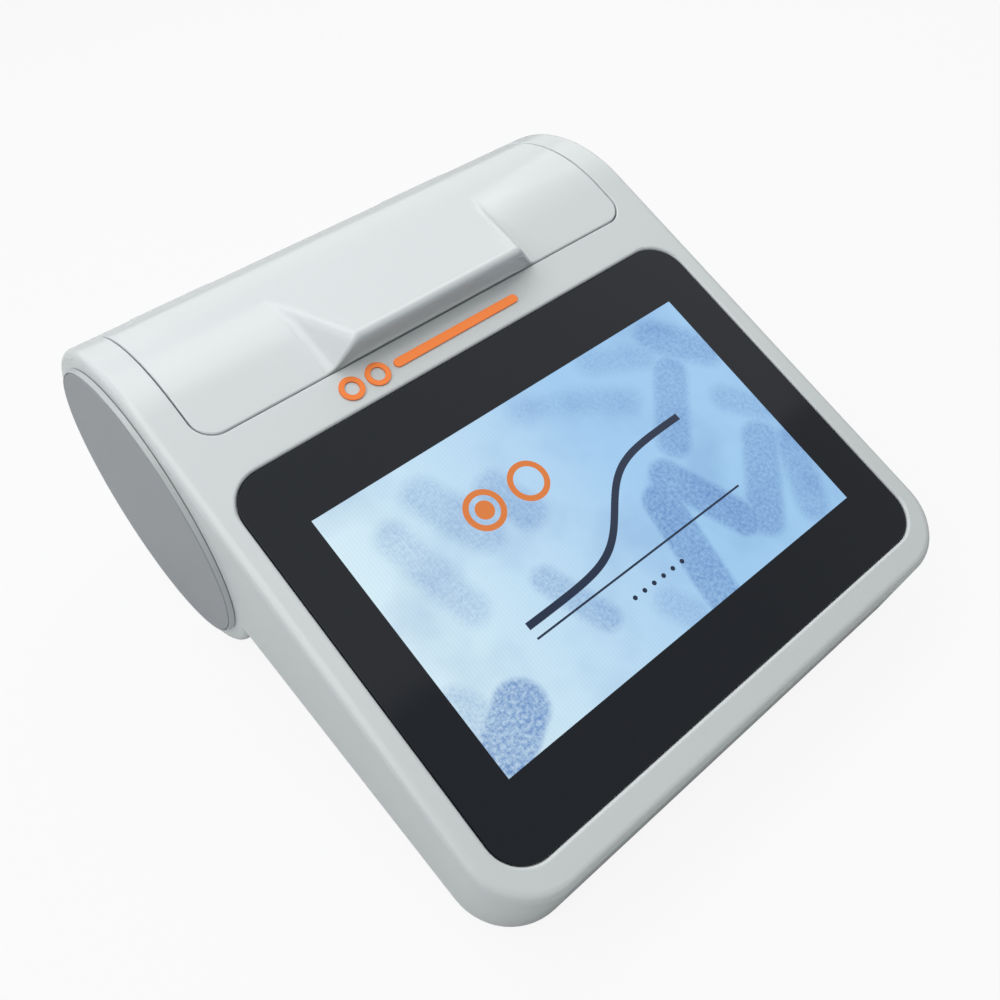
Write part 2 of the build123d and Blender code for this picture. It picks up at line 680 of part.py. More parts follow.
def make_upper_housing():
    shell = upper_body(0) - upper_body(WALL, drop=1)
    frame = plate(deck_plane(SCREEN_FORWARD, FRAME_LOW), GLASS_WIDTH + 2 * FRAME_MARGIN,
                  GLASS_HEIGHT + 2 * FRAME_MARGIN, -FRAME_LOW - WALL / 2, GLASS_CORNER_RADIUS + FRAME_MARGIN)
    for x, v in bracket_screw_places():
        frame -= tube(deck_plane(SCREEN_FORWARD - v, FRAME_LOW - 1, x), SCREW_PILOT_RADIUS, 1 + BRACKET_SCREW_BITE)
    shell += frame
    room = upper_body(WALL / 2)
    for x, back in base_screw_places():
        boss = tube(under_plane(back, WALL + CUP_HEIGHT, x), BOSS_RADIUS, BARREL_RADIUS) & room
        pilot = tube(under_plane(back, WALL + CUP_HEIGHT, x), SCREW_PILOT_RADIUS, 12.0)
        shell = shell + boss - pilot
    shell += chamber_walls()
    joint = belly_screw_joint()
    for x in (-BELLY_SCREW_X, BELLY_SCREW_X):
        low = level_plane(BELLY_SCREW_Y, joint, x)
        high = WELL_DECK_Z - LEDGE_THICKNESS / 2 - joint
        shell = shell + tube(low, BOSS_RADIUS, high) - tube(low, SCREW_PILOT_RADIUS, 12.0)
    shell -= chamber_body(0, WELL_DECK_Z)
    shell = fillet(shell.edges().filter_by(is_opening_rim), OPENING_LIP_RADIUS)
    for shelf in keeper_shelves():
        shell += shelf & chamber_body(RIM_WALL / 2, WELL_DECK_Z)
    shell -= recess_cut()
    shell = fillet(shell.edges().filter_by(is_recess_rim), RECESS_LIP_RADIUS)
    for x in hinge_xs():
        shell -= knuckle_notch(x, LID_KNUCKLE_LENGTH)
        for hx in housing_knuckle_xs(x):
            shell += knuckle(hx, KNUCKLE_LENGTH, -1)
        shell -= side_disc(x - HINGE_SPACING / 4, x + HINGE_SPACING / 4, HINGE_AXIS, PIN_RADIUS)
    shell -= side_disc(-HOUSING_WIDTH, HOUSING_WIDTH, (0, 0), END_HOLE_RADIUS) & end_slots()
    for x, y in deck_screw_places():
        shell -= tube(level_plane(y, 0, x), SCREW_PILOT_RADIUS, BARREL_RADIUS) & level_layer(20, WELL_DECK_Z)
    return shell


def is_opening_rim(edge):
    """Edges of the lid's opening that lie in the top skin, without the one along the hinge."""
    middle = edge @ 0.5
    y, z = middle.Y - BARREL_Y, middle.Z - BARREL_Z
    down, up = polar(DOWN_DECK, 1), polar(DECK_NORMAL, 1)
    forward = y * down[0] + z * down[1]
    height = y * up[0] + z * up[1] if forward > 0 else sqrt(y**2 + z**2)
    inside = abs(middle.X) < LID_WIDTH / 2 + SEAM_GAP + 0.01
    at_hinge = abs((edge % 0.5).X) > 0.999 and forward < 0
    return abs(height - BARREL_RADIUS) < 0.01 and inside and not at_hinge


def level_layer(low, high):
    return plate(level_plane(0, low), 2 * HOUSING_WIDTH, 4 * BARREL_RADIUS, high - low)


def end_slots():
    """Two slabs that hold the end walls of the barrel."""
    slab = Box(2 * SPIGOT_LENGTH + 1, 8 * BARREL_RADIUS, 8 * BARREL_RADIUS)
    return Pos(HALF_WIDTH, BARREL_Y, BARREL_Z) * slab + Pos(-HALF_WIDTH, BARREL_Y, BARREL_Z) * slab


def recess_cut():
    depth = GLASS_SINK + GLASS_THICKNESS + GASKET_THICKNESS
    recess = plate(deck_plane(SCREEN_FORWARD, -depth), GLASS_WIDTH + 2 * GLASS_GAP,
                   GLASS_HEIGHT + 2 * GLASS_GAP, 2 * depth, GLASS_CORNER_RADIUS + GLASS_GAP)
    window = plate(deck_plane(SCREEN_FORWARD, -3 * depth), tray_width() + 2 * FIT_GAP + 1,
                   tray_height() + 2 * FIT_GAP + 1, 4 * depth, 1.0)
    return recess + window


def is_recess_rim(edge):
    """Edges of the glass recess that lie in the deck's surface."""
    plane = deck_plane(SCREEN_FORWARD)
    p = plane.to_local_coords(edge @ 0.5)
    inside = abs(p.X) < GLASS_WIDTH / 2 + 1 and abs(p.Y) < GLASS_HEIGHT / 2 + 1
    return abs(p.Z) < 0.01 and inside


def make_lower_housing():
    belly = belly_body(0) - belly_body(WALL, rise=1)
    cover = upper_body(WALL + FIT_GAP) & under_layer(0, WALL)
    front, rear = chord(BARREL_RADIUS - WALL / 2, 0)
    keep = side_polygon([under_point(-5, -5), polar(UNDER_NORMAL, 10, front),
                         polar(UP_FRONT, 10, front), under_point(-5, 15)], -HALF_WIDTH, HALF_WIDTH)
    shell = belly + (cover & keep)
    lip_outer = upper_body(WALL + FIT_GAP, drop=0.5) & under_layer(-0.5, WALL + 1.5)
    shell += lip_outer - upper_body(WALL + FIT_GAP + LIP_WALL, drop=3)
    root = belly_body(WALL / 2) - belly_body(WALL + FIT_GAP + LIP_WALL, rise=1)
    shell += root & under_layer(-LIP_ROOT, 0)
    for x, back in base_screw_places():
        cup = tube(under_plane(back, WALL / 2, x), BOSS_RADIUS + 0.5, WALL / 2 + CUP_HEIGHT)
        bore = tube(under_plane(back, -1, x), SCREW_HOLE_RADIUS, 2 * (WALL + CUP_HEIGHT))
        head = tube(under_plane(back, -1, x), SCREW_HEAD_RADIUS + FIT_GAP, 1 + WALL + CUP_HEIGHT - 2)
        shell = shell + cup - bore - head
    joint = belly_screw_joint()
    solid_belly = belly_body(WALL / 2, rise=3 * CUP_HEIGHT)
    for x in (-BELLY_SCREW_X, BELLY_SCREW_X):
        post = tube(level_plane(BELLY_SCREW_Y, FLOOR, x), BOSS_RADIUS + 1, joint - FLOOR) & solid_belly
        head = tube(level_plane(BELLY_SCREW_Y, FLOOR, x), SCREW_HEAD_RADIUS + FIT_GAP, joint - FLOOR - 12)
        bore = tube(level_plane(BELLY_SCREW_Y, FLOOR, x), SCREW_HOLE_RADIUS, joint - FLOOR + 5)
        shell = shell + post - head - bore
    for x, back in board_screw_places():
        shell += tube(under_plane(back, WALL / 2, x), 3.5, WALL / 2 + STANDOFF_HEIGHT)
        shell -= tube(under_plane(back, WALL, x), SCREW_PILOT_RADIUS, STANDOFF_HEIGHT + 1)
    shell += pocket_box(RIM_WALL) & belly_body(0)
    shell -= pocket_box(0)
    for x in PORT_STAND_XS:
        stand_top = POCKET_FLOOR_Y - RIM_WALL / 2
        shell += side_to_rear_tube(x, POCKET_MIDDLE, PORT_BOARD_Y, stand_top, PORT_STAND_RADIUS)
        shell -= side_to_rear_tube(x, POCKET_MIDDLE, PORT_BOARD_Y - 1, stand_top - RIM_WALL, SCREW_PILOT_RADIUS)
    shell -= switch_cut() + inlet_cut() + usb_cut()
    for x in VENT_XS:
        for back in VENT_BACKS:
            shell -= extrude(under_plane(back, -1, x) * SlotOverall(VENT_LENGTH, VENT_WIDTH), WALL + 2)
    shell -= side_disc(-HOUSING_WIDTH, HOUSING_WIDTH, (0, 0), END_HOLE_RADIUS) & end_slots()
    return shell


# Rear pocket with the power switch, the power inlet and the socket

def rear_plane(x, z, y):
    """Plane that faces the back: its x is the barrel's direction turned round, its y points up."""
    return Plane(origin=world(x, (y, z)), x_dir=(-1, 0, 0), z_dir=(0, 1, 0))


def pocket_box(grow):
    height = POCKET_HIGH - POCKET_LOW + 2 * grow
    plane = rear_plane(0, POCKET_MIDDLE, POCKET_FLOOR_Y - grow)
    return plate(plane, POCKET_WIDTH + 2 * grow, height, BARREL_RADIUS, 3 + grow)


def side_to_rear_tube(x, z, y0, y1, radius):
    return extrude(rear_plane(x, z, y0) * Circle(radius), y1 - y0)


def rear_block(x, z, y0, y1, width, height, corner=0.0):
    return plate(rear_plane(x, z, y0), width, height, y1 - y0, corner)


def switch_cut():
    return rear_block(SWITCH_X, POCKET_MIDDLE, POCKET_FLOOR_Y - 9, POCKET_FLOOR_Y + 1,
                      SWITCH_WIDTH + 2 * FIT_GAP, SWITCH_HEIGHT + 2 * FIT_GAP)


def inlet_cut():
    return side_to_rear_tube(INLET_X, POCKET_MIDDLE, POCKET_FLOOR_Y - 9, POCKET_FLOOR_Y + 1, INLET_RADIUS + 0.1)


def usb_cut():
    return rear_block(USB_X, POCKET_MIDDLE, POCKET_FLOOR_Y - 9, POCKET_FLOOR_Y + 1,
                      USB_WIDTH + 2 * FIT_GAP, USB_HEIGHT + 2 * FIT_GAP, 0.6)


def make_switch_body():
    y = POCKET_FLOOR_Y
    bezel = rear_block(SWITCH_X, POCKET_MIDDLE, y, y + BEZEL_THICKNESS, SWITCH_WIDTH + 2 * BEZEL_MARGIN,
                       SWITCH_HEIGHT + 2 * BEZEL_MARGIN, 1.0)
    bezel = chamfer(bezel.faces().sort_by(Axis.Y)[-1].edges(), 0.5)
    body = rear_block(SWITCH_X, POCKET_MIDDLE, y - SWITCH_DEPTH, y, SWITCH_WIDTH, SWITCH_HEIGHT)
    opening = rear_block(SWITCH_X, POCKET_MIDDLE, y - SWITCH_DEPTH + 1.5, y + 5,
                         ROCKER_WIDTH + 0.8, 2 * ROCKER_HALF_HEIGHT + 2.2)
    bore = side_disc(SWITCH_X - 5.6, SWITCH_X + 5.6, (y + ROCKER_PIVOT, POCKET_MIDDLE), 1.3)
    tabs = [rear_block(SWITCH_X, POCKET_MIDDLE + dz, y - SWITCH_DEPTH - 5, y - SWITCH_DEPTH + 0.5, 4.8, 0.8)
            for dz in (-5, 5)]
    return bezel + body - opening - bore + tabs


def make_rocker():
    """Rocker at its off stop, turned about the pivot from its middle position."""
    h, p = ROCKER_HALF_HEIGHT, ROCKER_PIVOT
    face = make_face(Polyline((-p + 2.6, h), (-p + 1.5, 0), (-p + 2.6, -h)) + Line((-p + 2.6, -h), (-1, -h + 1))
                     + ThreePointArc((-1, -h + 1), (-5.5, 0), (-1, h - 1)) + Line((-1, h - 1), (-p + 2.6, h)))
    face = Pos(POCKET_FLOOR_Y + p, POCKET_MIDDLE) * Rot(0, 0, -ROCKER_TILT) * face
    x0, x1 = SWITCH_X - ROCKER_WIDTH / 2, SWITCH_X + ROCKER_WIDTH / 2
    pivot = (POCKET_FLOOR_Y + p, POCKET_MIDDLE)
    return side_extrude(face, x0, x1) + side_disc(x0 - 0.7, x1 + 0.7, pivot, 1.25)


def make_dc_inlet():
    y = POCKET_FLOOR_Y
    def stage(y0, y1, radius):
        return side_to_rear_tube(INLET_X, POCKET_MIDDLE, y0, y1, radius)
    body = stage(PORT_BOARD_Y, y, INLET_RADIUS) + stage(y, y + 1.5, INLET_RADIUS + 1.6)
    body += stage(y - RIM_WALL - 2.2, y - RIM_WALL, INLET_RADIUS + 1.8)
    body -= stage(y - 8, y + 5, 2.9)
    return body + stage(y - 9, y - 0.5, 1.0)


def make_usb_socket():
    y = POCKET_FLOOR_Y
    depth = POCKET_FLOOR_Y - PORT_BOARD_Y
    outer = rear_block(USB_X, POCKET_MIDDLE, y - depth, y, USB_WIDTH, USB_HEIGHT, 0.5)
    inner = rear_block(USB_X, POCKET_MIDDLE, y - depth + 1, y + 1, USB_WIDTH - 0.8, USB_HEIGHT - 0.8)
    tongue = rear_block(USB_X, POCKET_MIDDLE + 1.1, y - depth + 0.5, y - 1, USB_WIDTH - 2.4, 1.8)
    return outer - inner + tongue


def make_port_board():
    y = PORT_BOARD_Y
    first, last = PORT_STAND_XS
    width = last - first + 2 * PORT_STAND_RADIUS + 1
    board = rear_block((first + last) / 2, POCKET_MIDDLE, y - BOARD_THICKNESS, y, width, 20.0, 1.0)
    for x in PORT_STAND_XS:
        board -= side_to_rear_tube(x, POCKET_MIDDLE, y - 5, y + 5, SCREW_HOLE_RADIUS)
    return board


def make_port_screws():
    y = PORT_BOARD_Y - BOARD_THICKNESS
    screws = []
    for x in PORT_STAND_XS:
        plane = Plane(origin=world(x, (y, POCKET_MIDDLE)), x_dir=(1, 0, 0), z_dir=(0, -1, 0))
        screws.append(screw(plane, BOARD_THICKNESS + 6.0))
    return screws


# Display stack

def tray_width():
    return SCREEN_WIDTH + 2 * PANEL_BORDER + 2 * TRAY_WALL + 0.4


def tray_height():
    return SCREEN_HEIGHT + 2 * PANEL_BORDER / 2 + 2 * TRAY_WALL + 0.4


def make_cover_glass():
    glass = plate(deck_plane(SCREEN_FORWARD, GLASS_LOW), GLASS_WIDTH, GLASS_HEIGHT, GLASS_THICKNESS,
                  GLASS_CORNER_RADIUS)
    top = glass.faces().sort_by_distance(world(0, deck_point(SCREEN_FORWARD, 50)))[0]
    return fillet(top.edges(), 0.35)


def make_glass_gasket():
    ring = (RectangleRounded(GLASS_WIDTH - 1, GLASS_HEIGHT - 1, GLASS_CORNER_RADIUS - 0.5)
            - RectangleRounded(tray_width() + 3, tray_height() + 3, 2))
    return extrude(deck_plane(SCREEN_FORWARD, GLASS_LOW - GASKET_THICKNESS) * ring, GASKET_THICKNESS)


def make_lcd_panel():
    return plate(deck_plane(SCREEN_FORWARD, GLASS_LOW - PANEL_THICKNESS), SCREEN_WIDTH + 2 * PANEL_BORDER,
                 SCREEN_HEIGHT + PANEL_BORDER, PANEL_THICKNESS)


def make_lcd_tray():
    tray = plate(deck_plane(SCREEN_FORWARD, TRAY_LOW), tray_width(), tray_height(), TRAY_DEPTH, 0.8)
    pocket = plate(deck_plane(SCREEN_FORWARD, GLASS_LOW - PANEL_THICKNESS), tray_width() - 2 * TRAY_WALL,
                   tray_height() - 2 * TRAY_WALL, 2 * PANEL_THICKNESS)
    return tray - pocket


def bracket_screw_places():
    x = tray_width() / 2 - 10
    return [(sx * x, sy * (tray_height() / 2 + 5)) for sx in (-1, 1) for sy in (-1, 1)]


def make_display_bracket():
    """Sheet-metal bracket: a back plate under the tray with four legs that reach the display frame."""
    width, height = tray_width() + 2, tray_height() + 20
    low = TRAY_LOW - BRACKET_THICKNESS
    base = plate(deck_plane(SCREEN_FORWARD, low), width, height, BRACKET_THICKNESS, 4)
    for x in (-width / 4, 0, width / 4):
        base -= extrude(deck_plane(SCREEN_FORWARD, low, x) * RectangleRounded(26, height * 0.5, 6), 5)
    for x, v in bracket_screw_places():
        leg = extrude(deck_plane(SCREEN_FORWARD, low) * Pos(x, v) * Circle(BOSS_RADIUS), FRAME_LOW - low)
        bore = extrude(deck_plane(SCREEN_FORWARD, low - 1) * Pos(x, v) * Circle(SCREW_HOLE_RADIUS), 20)
        base = base + leg - bore
    return base


def make_bracket_screws():
    low = TRAY_LOW - BRACKET_THICKNESS
    flipped = [tilted_plane(x, deck_point(SCREEN_FORWARD - v, low), DECK_NORMAL + 180)
               for x, v in bracket_screw_places()]
    return [screw(p, FRAME_LOW - low + BRACKET_SCREW_BITE) for p in flipped]


# Chamber parts

def deck_screw_places():
    front, rear = ledge_span()
    x = LID_WIDTH / 2 - LEDGE_SIDE / 2
    return [(sx * x, y) for sx in (-1, 1) for y in (front + 12, rear - 12)]


def well_xs():
    return (-WELL_SPACING / 2, WELL_SPACING / 2)


def block_y():
    front, rear = ledge_span()
    return (front + rear) / 2


def make_well_deck():
    top = WELL_DECK_Z + WELL_DECK_THICKNESS
    deck = chamber_body(-FIT_GAP, WELL_DECK_Z) & level_layer(WELL_DECK_Z, top)
    ridge = (RectangleRounded(HOOD_WIDTH + 1, HOOD_LENGTH + 1, 4)
             - RectangleRounded(HOOD_WIDTH - 2 * RIDGE_WALL, HOOD_LENGTH - 2 * RIDGE_WALL, 3))
    deck += extrude(hood_plane(top - 0.5) * ridge, RIDGE_HEIGHT + 0.5)
    for x in well_xs():
        ring = level_plane(block_y(), top - 0.5, x)
        deck += extrude(ring * Circle(DECK_HOLE_RADIUS + 3), 2.0)
        deck -= tube(level_plane(block_y(), WELL_DECK_Z - 1, x), DECK_HOLE_RADIUS, 10.0)
    for x, y in deck_screw_places():
        deck -= tube(level_plane(y, WELL_DECK_Z - 1, x), SCREW_HOLE_RADIUS, 10.0)
    for x, y in block_screw_places():
        deck -= tube(level_plane(y, WELL_DECK_Z - 1, x), SCREW_HOLE_RADIUS, 10.0)
    return deck


def block_screw_places():
    x, y = BLOCK_WIDTH / 2 - 4, BLOCK_LENGTH / 2 - 4
    return [(sx * x, block_y() + sy * y) for sx in (-1, 1) for sy in (-1, 1)]


def well_cut(x):
    """Tube well: straight bore, cone and blunt tip, turned about its axis."""
    top, shoulder = WELL_DECK_Z + 1, WELL_DECK_Z - WELL_STRAIGHT
    tip = shoulder - WELL_CONE
    y = block_y()
    outline = Polyline((0, top), (WELL_RADIUS, top), (WELL_RADIUS, shoulder), (WELL_TIP_RADIUS, tip),
                       (WELL_TIP_RADIUS / 2, tip - WELL_TIP_RADIUS), (0, tip - WELL_TIP_RADIUS), close=True)
    plane = Plane(origin=world(x, (y, 0)), x_dir=(1, 0, 0), z_dir=(0, -1, 0))
    return revolve(plane * make_face(outline), Axis(world(x, (y, 0)), (0, 0, 1)))


def make_sample_block():
    block = plate(level_plane(block_y(), WELL_DECK_Z - BLOCK_HEIGHT), BLOCK_WIDTH, BLOCK_LENGTH, BLOCK_HEIGHT, 2)
    beam_z = WELL_DECK_Z - BEAM_DROP
    front = block_y() - BLOCK_LENGTH / 2
    for x in well_xs():
        block -= well_cut(x)
        inlet = rear_plane(x, beam_z, front - 1)
        block -= extrude(inlet * Circle(BEAM_RADIUS), BLOCK_LENGTH / 2 + 1)
        block -= extrude(inlet * Circle(FILTER_RADIUS + 0.1), 1 + FILTER_THICKNESS + LENS_THICKNESS)
    half = BLOCK_WIDTH / 2
    beam = side_disc(-half - 1, -WELL_SPACING / 2, (block_y(), beam_z), BEAM_RADIUS)
    seat = side_disc(-half - 1, -half + FILTER_THICKNESS, (block_y(), beam_z), FILTER_RADIUS + 0.1)
    for cut in both_sides(beam) + both_sides(seat):
        block -= cut
    for x, y in block_screw_places():
        block -= tube(level_plane(y, WELL_DECK_Z - 12, x), SCREW_PILOT_RADIUS, 13.0)
    return block


def beam_front():
    return block_y() - BLOCK_LENGTH / 2


def front_discs(start, thickness, radius):
    """Discs in the two excitation paths, from a depth inside the block's front face."""
    beam_z = WELL_DECK_Z - BEAM_DROP
    return [side_to_rear_tube(x, beam_z, beam_front() + start, beam_front() + start + thickness, radius)
            for x in well_xs()]


def make_excitation_filters():
    return front_discs(LENS_THICKNESS, FILTER_THICKNESS, FILTER_RADIUS)


def make_collimating_lenses():
    """Plano-convex lenses with the flat side on the filter."""
    lenses = []
    for disc in front_discs(0.2, LENS_THICKNESS - 0.2, LENS_RADIUS):
        edge = disc.faces().sort_by(Axis.Y)[0].edges()
        lenses.append(fillet(edge, 1.4))
    return lenses


def make_emission_filters():
    half = BLOCK_WIDTH / 2
    disc = side_disc(-half, -half + FILTER_THICKNESS, (block_y(), WELL_DECK_Z - BEAM_DROP), FILTER_RADIUS)
    return both_sides(disc)


def make_led_board():
    y = beam_front() - 4.0
    z = WELL_DECK_Z - BEAM_DROP
    board = rear_block(0, z, y - BOARD_THICKNESS, y, BLOCK_WIDTH - 4, 22.0, 1.0)
    for x in (-BLOCK_WIDTH / 2 + 6, BLOCK_WIDTH / 2 - 6):
        board += side_to_rear_tube(x, z, y - 0.5, beam_front(), 2.5)
    return board


def make_excitation_leds():
    y = beam_front() - 4.0
    leds = []
    for x in well_xs():
        can = side_to_rear_tube(x, WELL_DECK_Z - BEAM_DROP, y, y + 3.6, 2.5)
        leds.append(fillet(can.faces().sort_by(Axis.Y)[-1].edges(), 1.5))
    return leds


def make_detector_boards():
    half = BLOCK_WIDTH / 2
    y, z = block_y(), WELL_DECK_Z - BEAM_DROP
    board = side_polygon([(y - 14, z - 11), (y + 14, z - 11), (y + 14, z + 11), (y - 14, z + 11)],
                         -half - 4.0 - BOARD_THICKNESS, -half - 4.0)
    for dy in (-11, 11):
        board += side_disc(-half - 4.5, -half, (y + dy, z), 2.0)
    return both_sides(board)


def make_photodiodes():
    half = BLOCK_WIDTH / 2
    can = side_disc(-half - 4.0, -half - 0.4, (block_y(), WELL_DECK_Z - BEAM_DROP), 4.0)
    can = fillet(can.faces().sort_by(Axis.X)[-1].edges(), 0.6)
    return both_sides(can)


# Main board

def board_screw_places():
    x, y = BOARD_WIDTH / 2 - 5, BOARD_LENGTH / 2 - 5
    return [(sx * x, BOARD_BACK + sy * y) for sx in (-1, 1) for sy in (-1, 1)]


def make_main_board():
    board = plate(under_plane(BOARD_BACK, WALL + STANDOFF_HEIGHT), BOARD_WIDTH, BOARD_LENGTH, BOARD_THICKNESS, 2)
    for x, back in board_screw_places():
        board -= tube(under_plane(back, WALL, x), SCREW_HOLE_RADIUS, 3 * STANDOFF_HEIGHT)
    return board


def make_board_parts():
    """Processor can, connectors and regulators on the main board."""
    top = WALL + STANDOFF_HEIGHT + BOARD_THICKNESS
    sizes = [(0, 0, 34, 34, 4.0), (-44, 18, 18, 12, 6.0), (-44, -14, 12, 12, 3.0), (42, 16, 22, 8, 5.0),
             (42, -18, 10, 10, 3.0), (24, -26, 12, 8, 2.0)]
    return [plate(under_plane(BOARD_BACK + back, top, x), w, l, h, 0.8) for x, back, w, l, h in sizes]


# Ends, feet, inlay and screws

def turned(points):
    """Body turned about the barrel's axis from a profile of places along the axis and radii."""
    plane = Plane(origin=world(0, (0, 0)), x_dir=(1, 0, 0), z_dir=(0, -1, 0))
    return revolve(plane * make_face(Polyline(*points, close=True)), Axis(world(0, (0, 0)), (1, 0, 0)))


def make_end_collar(side):
    """Tapered ring with a spigot in the end wall, a shadow gap behind it and a seat for the plate."""
    bore, spigot = END_HOLE_RADIUS - SPIGOT_WALL, END_HOLE_RADIUS - 0.1
    land, pocket = COLLAR_ROOT_RADIUS - SHADOW_DEPTH, END_PLATE_RADIUS + PLATE_GAP
    root, seat, rim = HALF_WIDTH + SHADOW_GAP, HALF_WIDTH + COLLAR_SEAT, HALF_WIDTH + COLLAR_THICKNESS
    collar = turned([
        (HALF_WIDTH - SPIGOT_LENGTH, bore), (HALF_WIDTH - SPIGOT_LENGTH, spigot), (HALF_WIDTH, spigot),
        (HALF_WIDTH, land), (root, land), (root, COLLAR_ROOT_RADIUS), (rim, COLLAR_RIM_RADIUS),
        (rim, pocket), (seat, pocket), (seat, bore)])
    return collar if side > 0 else mirror(collar, Plane.YZ)


def make_end_plate(side):
    x0 = HALF_WIDTH + COLLAR_SEAT
    disc = side_disc(x0, x0 + END_PLATE_THICKNESS, (0, 0), END_PLATE_RADIUS)
    disc = fillet(disc.faces().sort_by(Axis.X)[-1].edges(), 0.35)
    return disc if side > 0 else mirror(disc, Plane.YZ)


def make_front_feet():
    near, far = FRONT_FOOT_BACKS
    points = [under_point(near), under_point(far), (under_point(far)[0], FLOOR), (under_point(near)[0], FLOOR)]
    foot = side_polygon(points, FOOT_X - FOOT_WIDTH / 2, FOOT_X + FOOT_WIDTH / 2)
    tall = foot.edges().filter_by(Axis.Z)
    return both_sides(fillet(tall, 3.0))


def make_rear_feet():
    near, far = REAR_FOOT_YS
    points = [(near, FLOOR), (far, FLOOR), (far, FLOOR / 2), (near, FLOOR / 2)]
    foot = side_polygon(points, FOOT_X - FOOT_WIDTH / 2, FOOT_X + FOOT_WIDTH / 2)
    foot = fillet(foot.edges().filter_by(Axis.Z), 3.0)
    return both_sides(foot - side_disc(-HOUSING_WIDTH, HOUSING_WIDTH, (0, 0), BARREL_RADIUS))


def make_trim_inlay():
    """Thin metal trim between the lid and the glass: two rings and a bar."""
    plane = deck_plane(INLAY_FORWARD)
    rings = [extrude(plane * Pos(x, 0) * (Circle(4.2) - Circle(2.4)), INLAY_THICKNESS) for x in (-40.5, -30.5)]
    bar = extrude(plane * Pos(2.0, 0) * SlotOverall(52.0, 3.2), INLAY_THICKNESS)
    return rings + [bar]


def make_hinge_pins():
    pins = []
    for x in hinge_xs():
        reach = LID_KNUCKLE_LENGTH / 2 + RUN_GAP + KNUCKLE_LENGTH
        pins.append(side_disc(x - reach, x + reach, HINGE_AXIS, PIN_RADIUS))
    return pins


def make_base_screws():
    screws = []
    for x, back in base_screw_places():
        plane = tilted_plane(x, under_point(back, WALL + CUP_HEIGHT - 2), UNDER_NORMAL)
        screws.append(screw(plane, 10.0))
    joint = belly_screw_joint()
    for x in (-BELLY_SCREW_X, BELLY_SCREW_X):
        screws.append(screw(tilted_plane(x, (BELLY_SCREW_Y, joint - 12), 270), 20.0))
    return screws


def make_board_screws():
    top = WALL + STANDOFF_HEIGHT + BOARD_THICKNESS
    return [screw(under_plane(back, top, x), BOARD_THICKNESS + 6) for x, back in board_screw_places()]


def make_deck_screws():
    top = WELL_DECK_Z + WELL_DECK_THICKNESS
    places = deck_screw_places()
    short = [screw(level_plane(y, top, x), WELL_DECK_THICKNESS + 2.2) for x, y in places]
    long = [screw(level_plane(y, top, x), WELL_DECK_THICKNESS + 8) for x, y in block_screw_places()]
    return short + long


def write(name, shape):
    """One file per node: a list becomes a group of separate solids."""
    if isinstance(shape, list):
        solids = [solid for piece in shape for solid in piece.solids()]
        shape = Compound(children=solids) if len(solids) > 1 else solids[0]
    export_step(shape, f"parts/{name}.step")


def main():
    os.makedirs("parts", exist_ok=True)
    write("upper_housing", make_upper_housing())
    write("lower_housing", make_lower_housing())
    for name, side in (("left", -1), ("right", 1)):
        write(f"{name}_end_collar", make_end_collar(side))
        write(f"{name}_end_plate", make_end_plate(side))
    write("cover_glass", make_cover_glass())
    write("glass_gasket", make_glass_gasket())
    write("lcd_panel", make_lcd_panel())
    write("lcd_tray", make_lcd_tray())
    write("display_bracket", make_display_bracket())
    write("bracket_screws", make_bracket_screws())
    write("lid_shell", make_lid_shell())
    write("lid_liner", make_lid_liner())
    write("lid_seal", make_lid_seal())
    write("lid_magnets", make_lid_magnets())
    write("keeper_plates", make_keeper_plates())
    write("hinge_pins", make_hinge_pins())
    write("well_deck", make_well_deck())
    write("sample_block", make_sample_block())
    write("excitation_filters", make_excitation_filters())
    write("collimating_lenses", make_collimating_lenses())
    write("emission_filters", make_emission_filters())
    write("led_board", make_led_board())
    write("excitation_leds", make_excitation_leds())
    write("detector_boards", make_detector_boards())
    write("photodiodes", make_photodiodes())
    write("main_board", make_main_board())
    write("board_parts", make_board_parts())
    write("switch_body", make_switch_body())
    write("power_rocker", make_rocker())
    write("dc_inlet", make_dc_inlet())
    write("usb_socket", make_usb_socket())
    write("port_board", make_port_board())
    write("front_feet", make_front_feet())
    write("rear_feet", make_rear_feet())
    write("trim_inlay", make_trim_inlay())
    write("base_screws", make_base_screws())
    write("board_screws", make_board_screws())
    write("deck_screws", make_deck_screws())
    write("port_screws", make_port_screws())


main()
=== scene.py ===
import json
import logging
import math
from dataclasses import dataclass
from enum import Enum
from typing import Any, Optional, Sequence

import bpy
from mathutils import Matrix, Vector

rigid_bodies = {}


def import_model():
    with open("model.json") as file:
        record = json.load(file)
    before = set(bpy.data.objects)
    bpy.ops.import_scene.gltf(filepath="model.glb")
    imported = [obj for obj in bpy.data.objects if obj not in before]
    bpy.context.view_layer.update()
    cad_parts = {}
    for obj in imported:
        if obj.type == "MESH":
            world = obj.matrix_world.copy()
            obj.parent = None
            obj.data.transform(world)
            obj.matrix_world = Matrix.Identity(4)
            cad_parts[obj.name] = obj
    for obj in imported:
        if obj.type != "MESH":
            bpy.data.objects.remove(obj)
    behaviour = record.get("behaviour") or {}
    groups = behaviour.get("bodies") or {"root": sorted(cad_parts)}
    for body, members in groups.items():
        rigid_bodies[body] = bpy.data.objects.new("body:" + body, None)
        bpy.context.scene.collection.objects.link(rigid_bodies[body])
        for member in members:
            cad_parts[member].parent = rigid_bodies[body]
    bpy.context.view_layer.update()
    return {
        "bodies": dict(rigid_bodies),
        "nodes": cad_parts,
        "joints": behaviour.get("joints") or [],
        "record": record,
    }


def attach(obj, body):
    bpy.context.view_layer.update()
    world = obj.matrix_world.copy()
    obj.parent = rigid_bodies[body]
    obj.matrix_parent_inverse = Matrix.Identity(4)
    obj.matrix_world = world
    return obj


LOG = logging.getLogger("fluorometer")
MM = 0.001

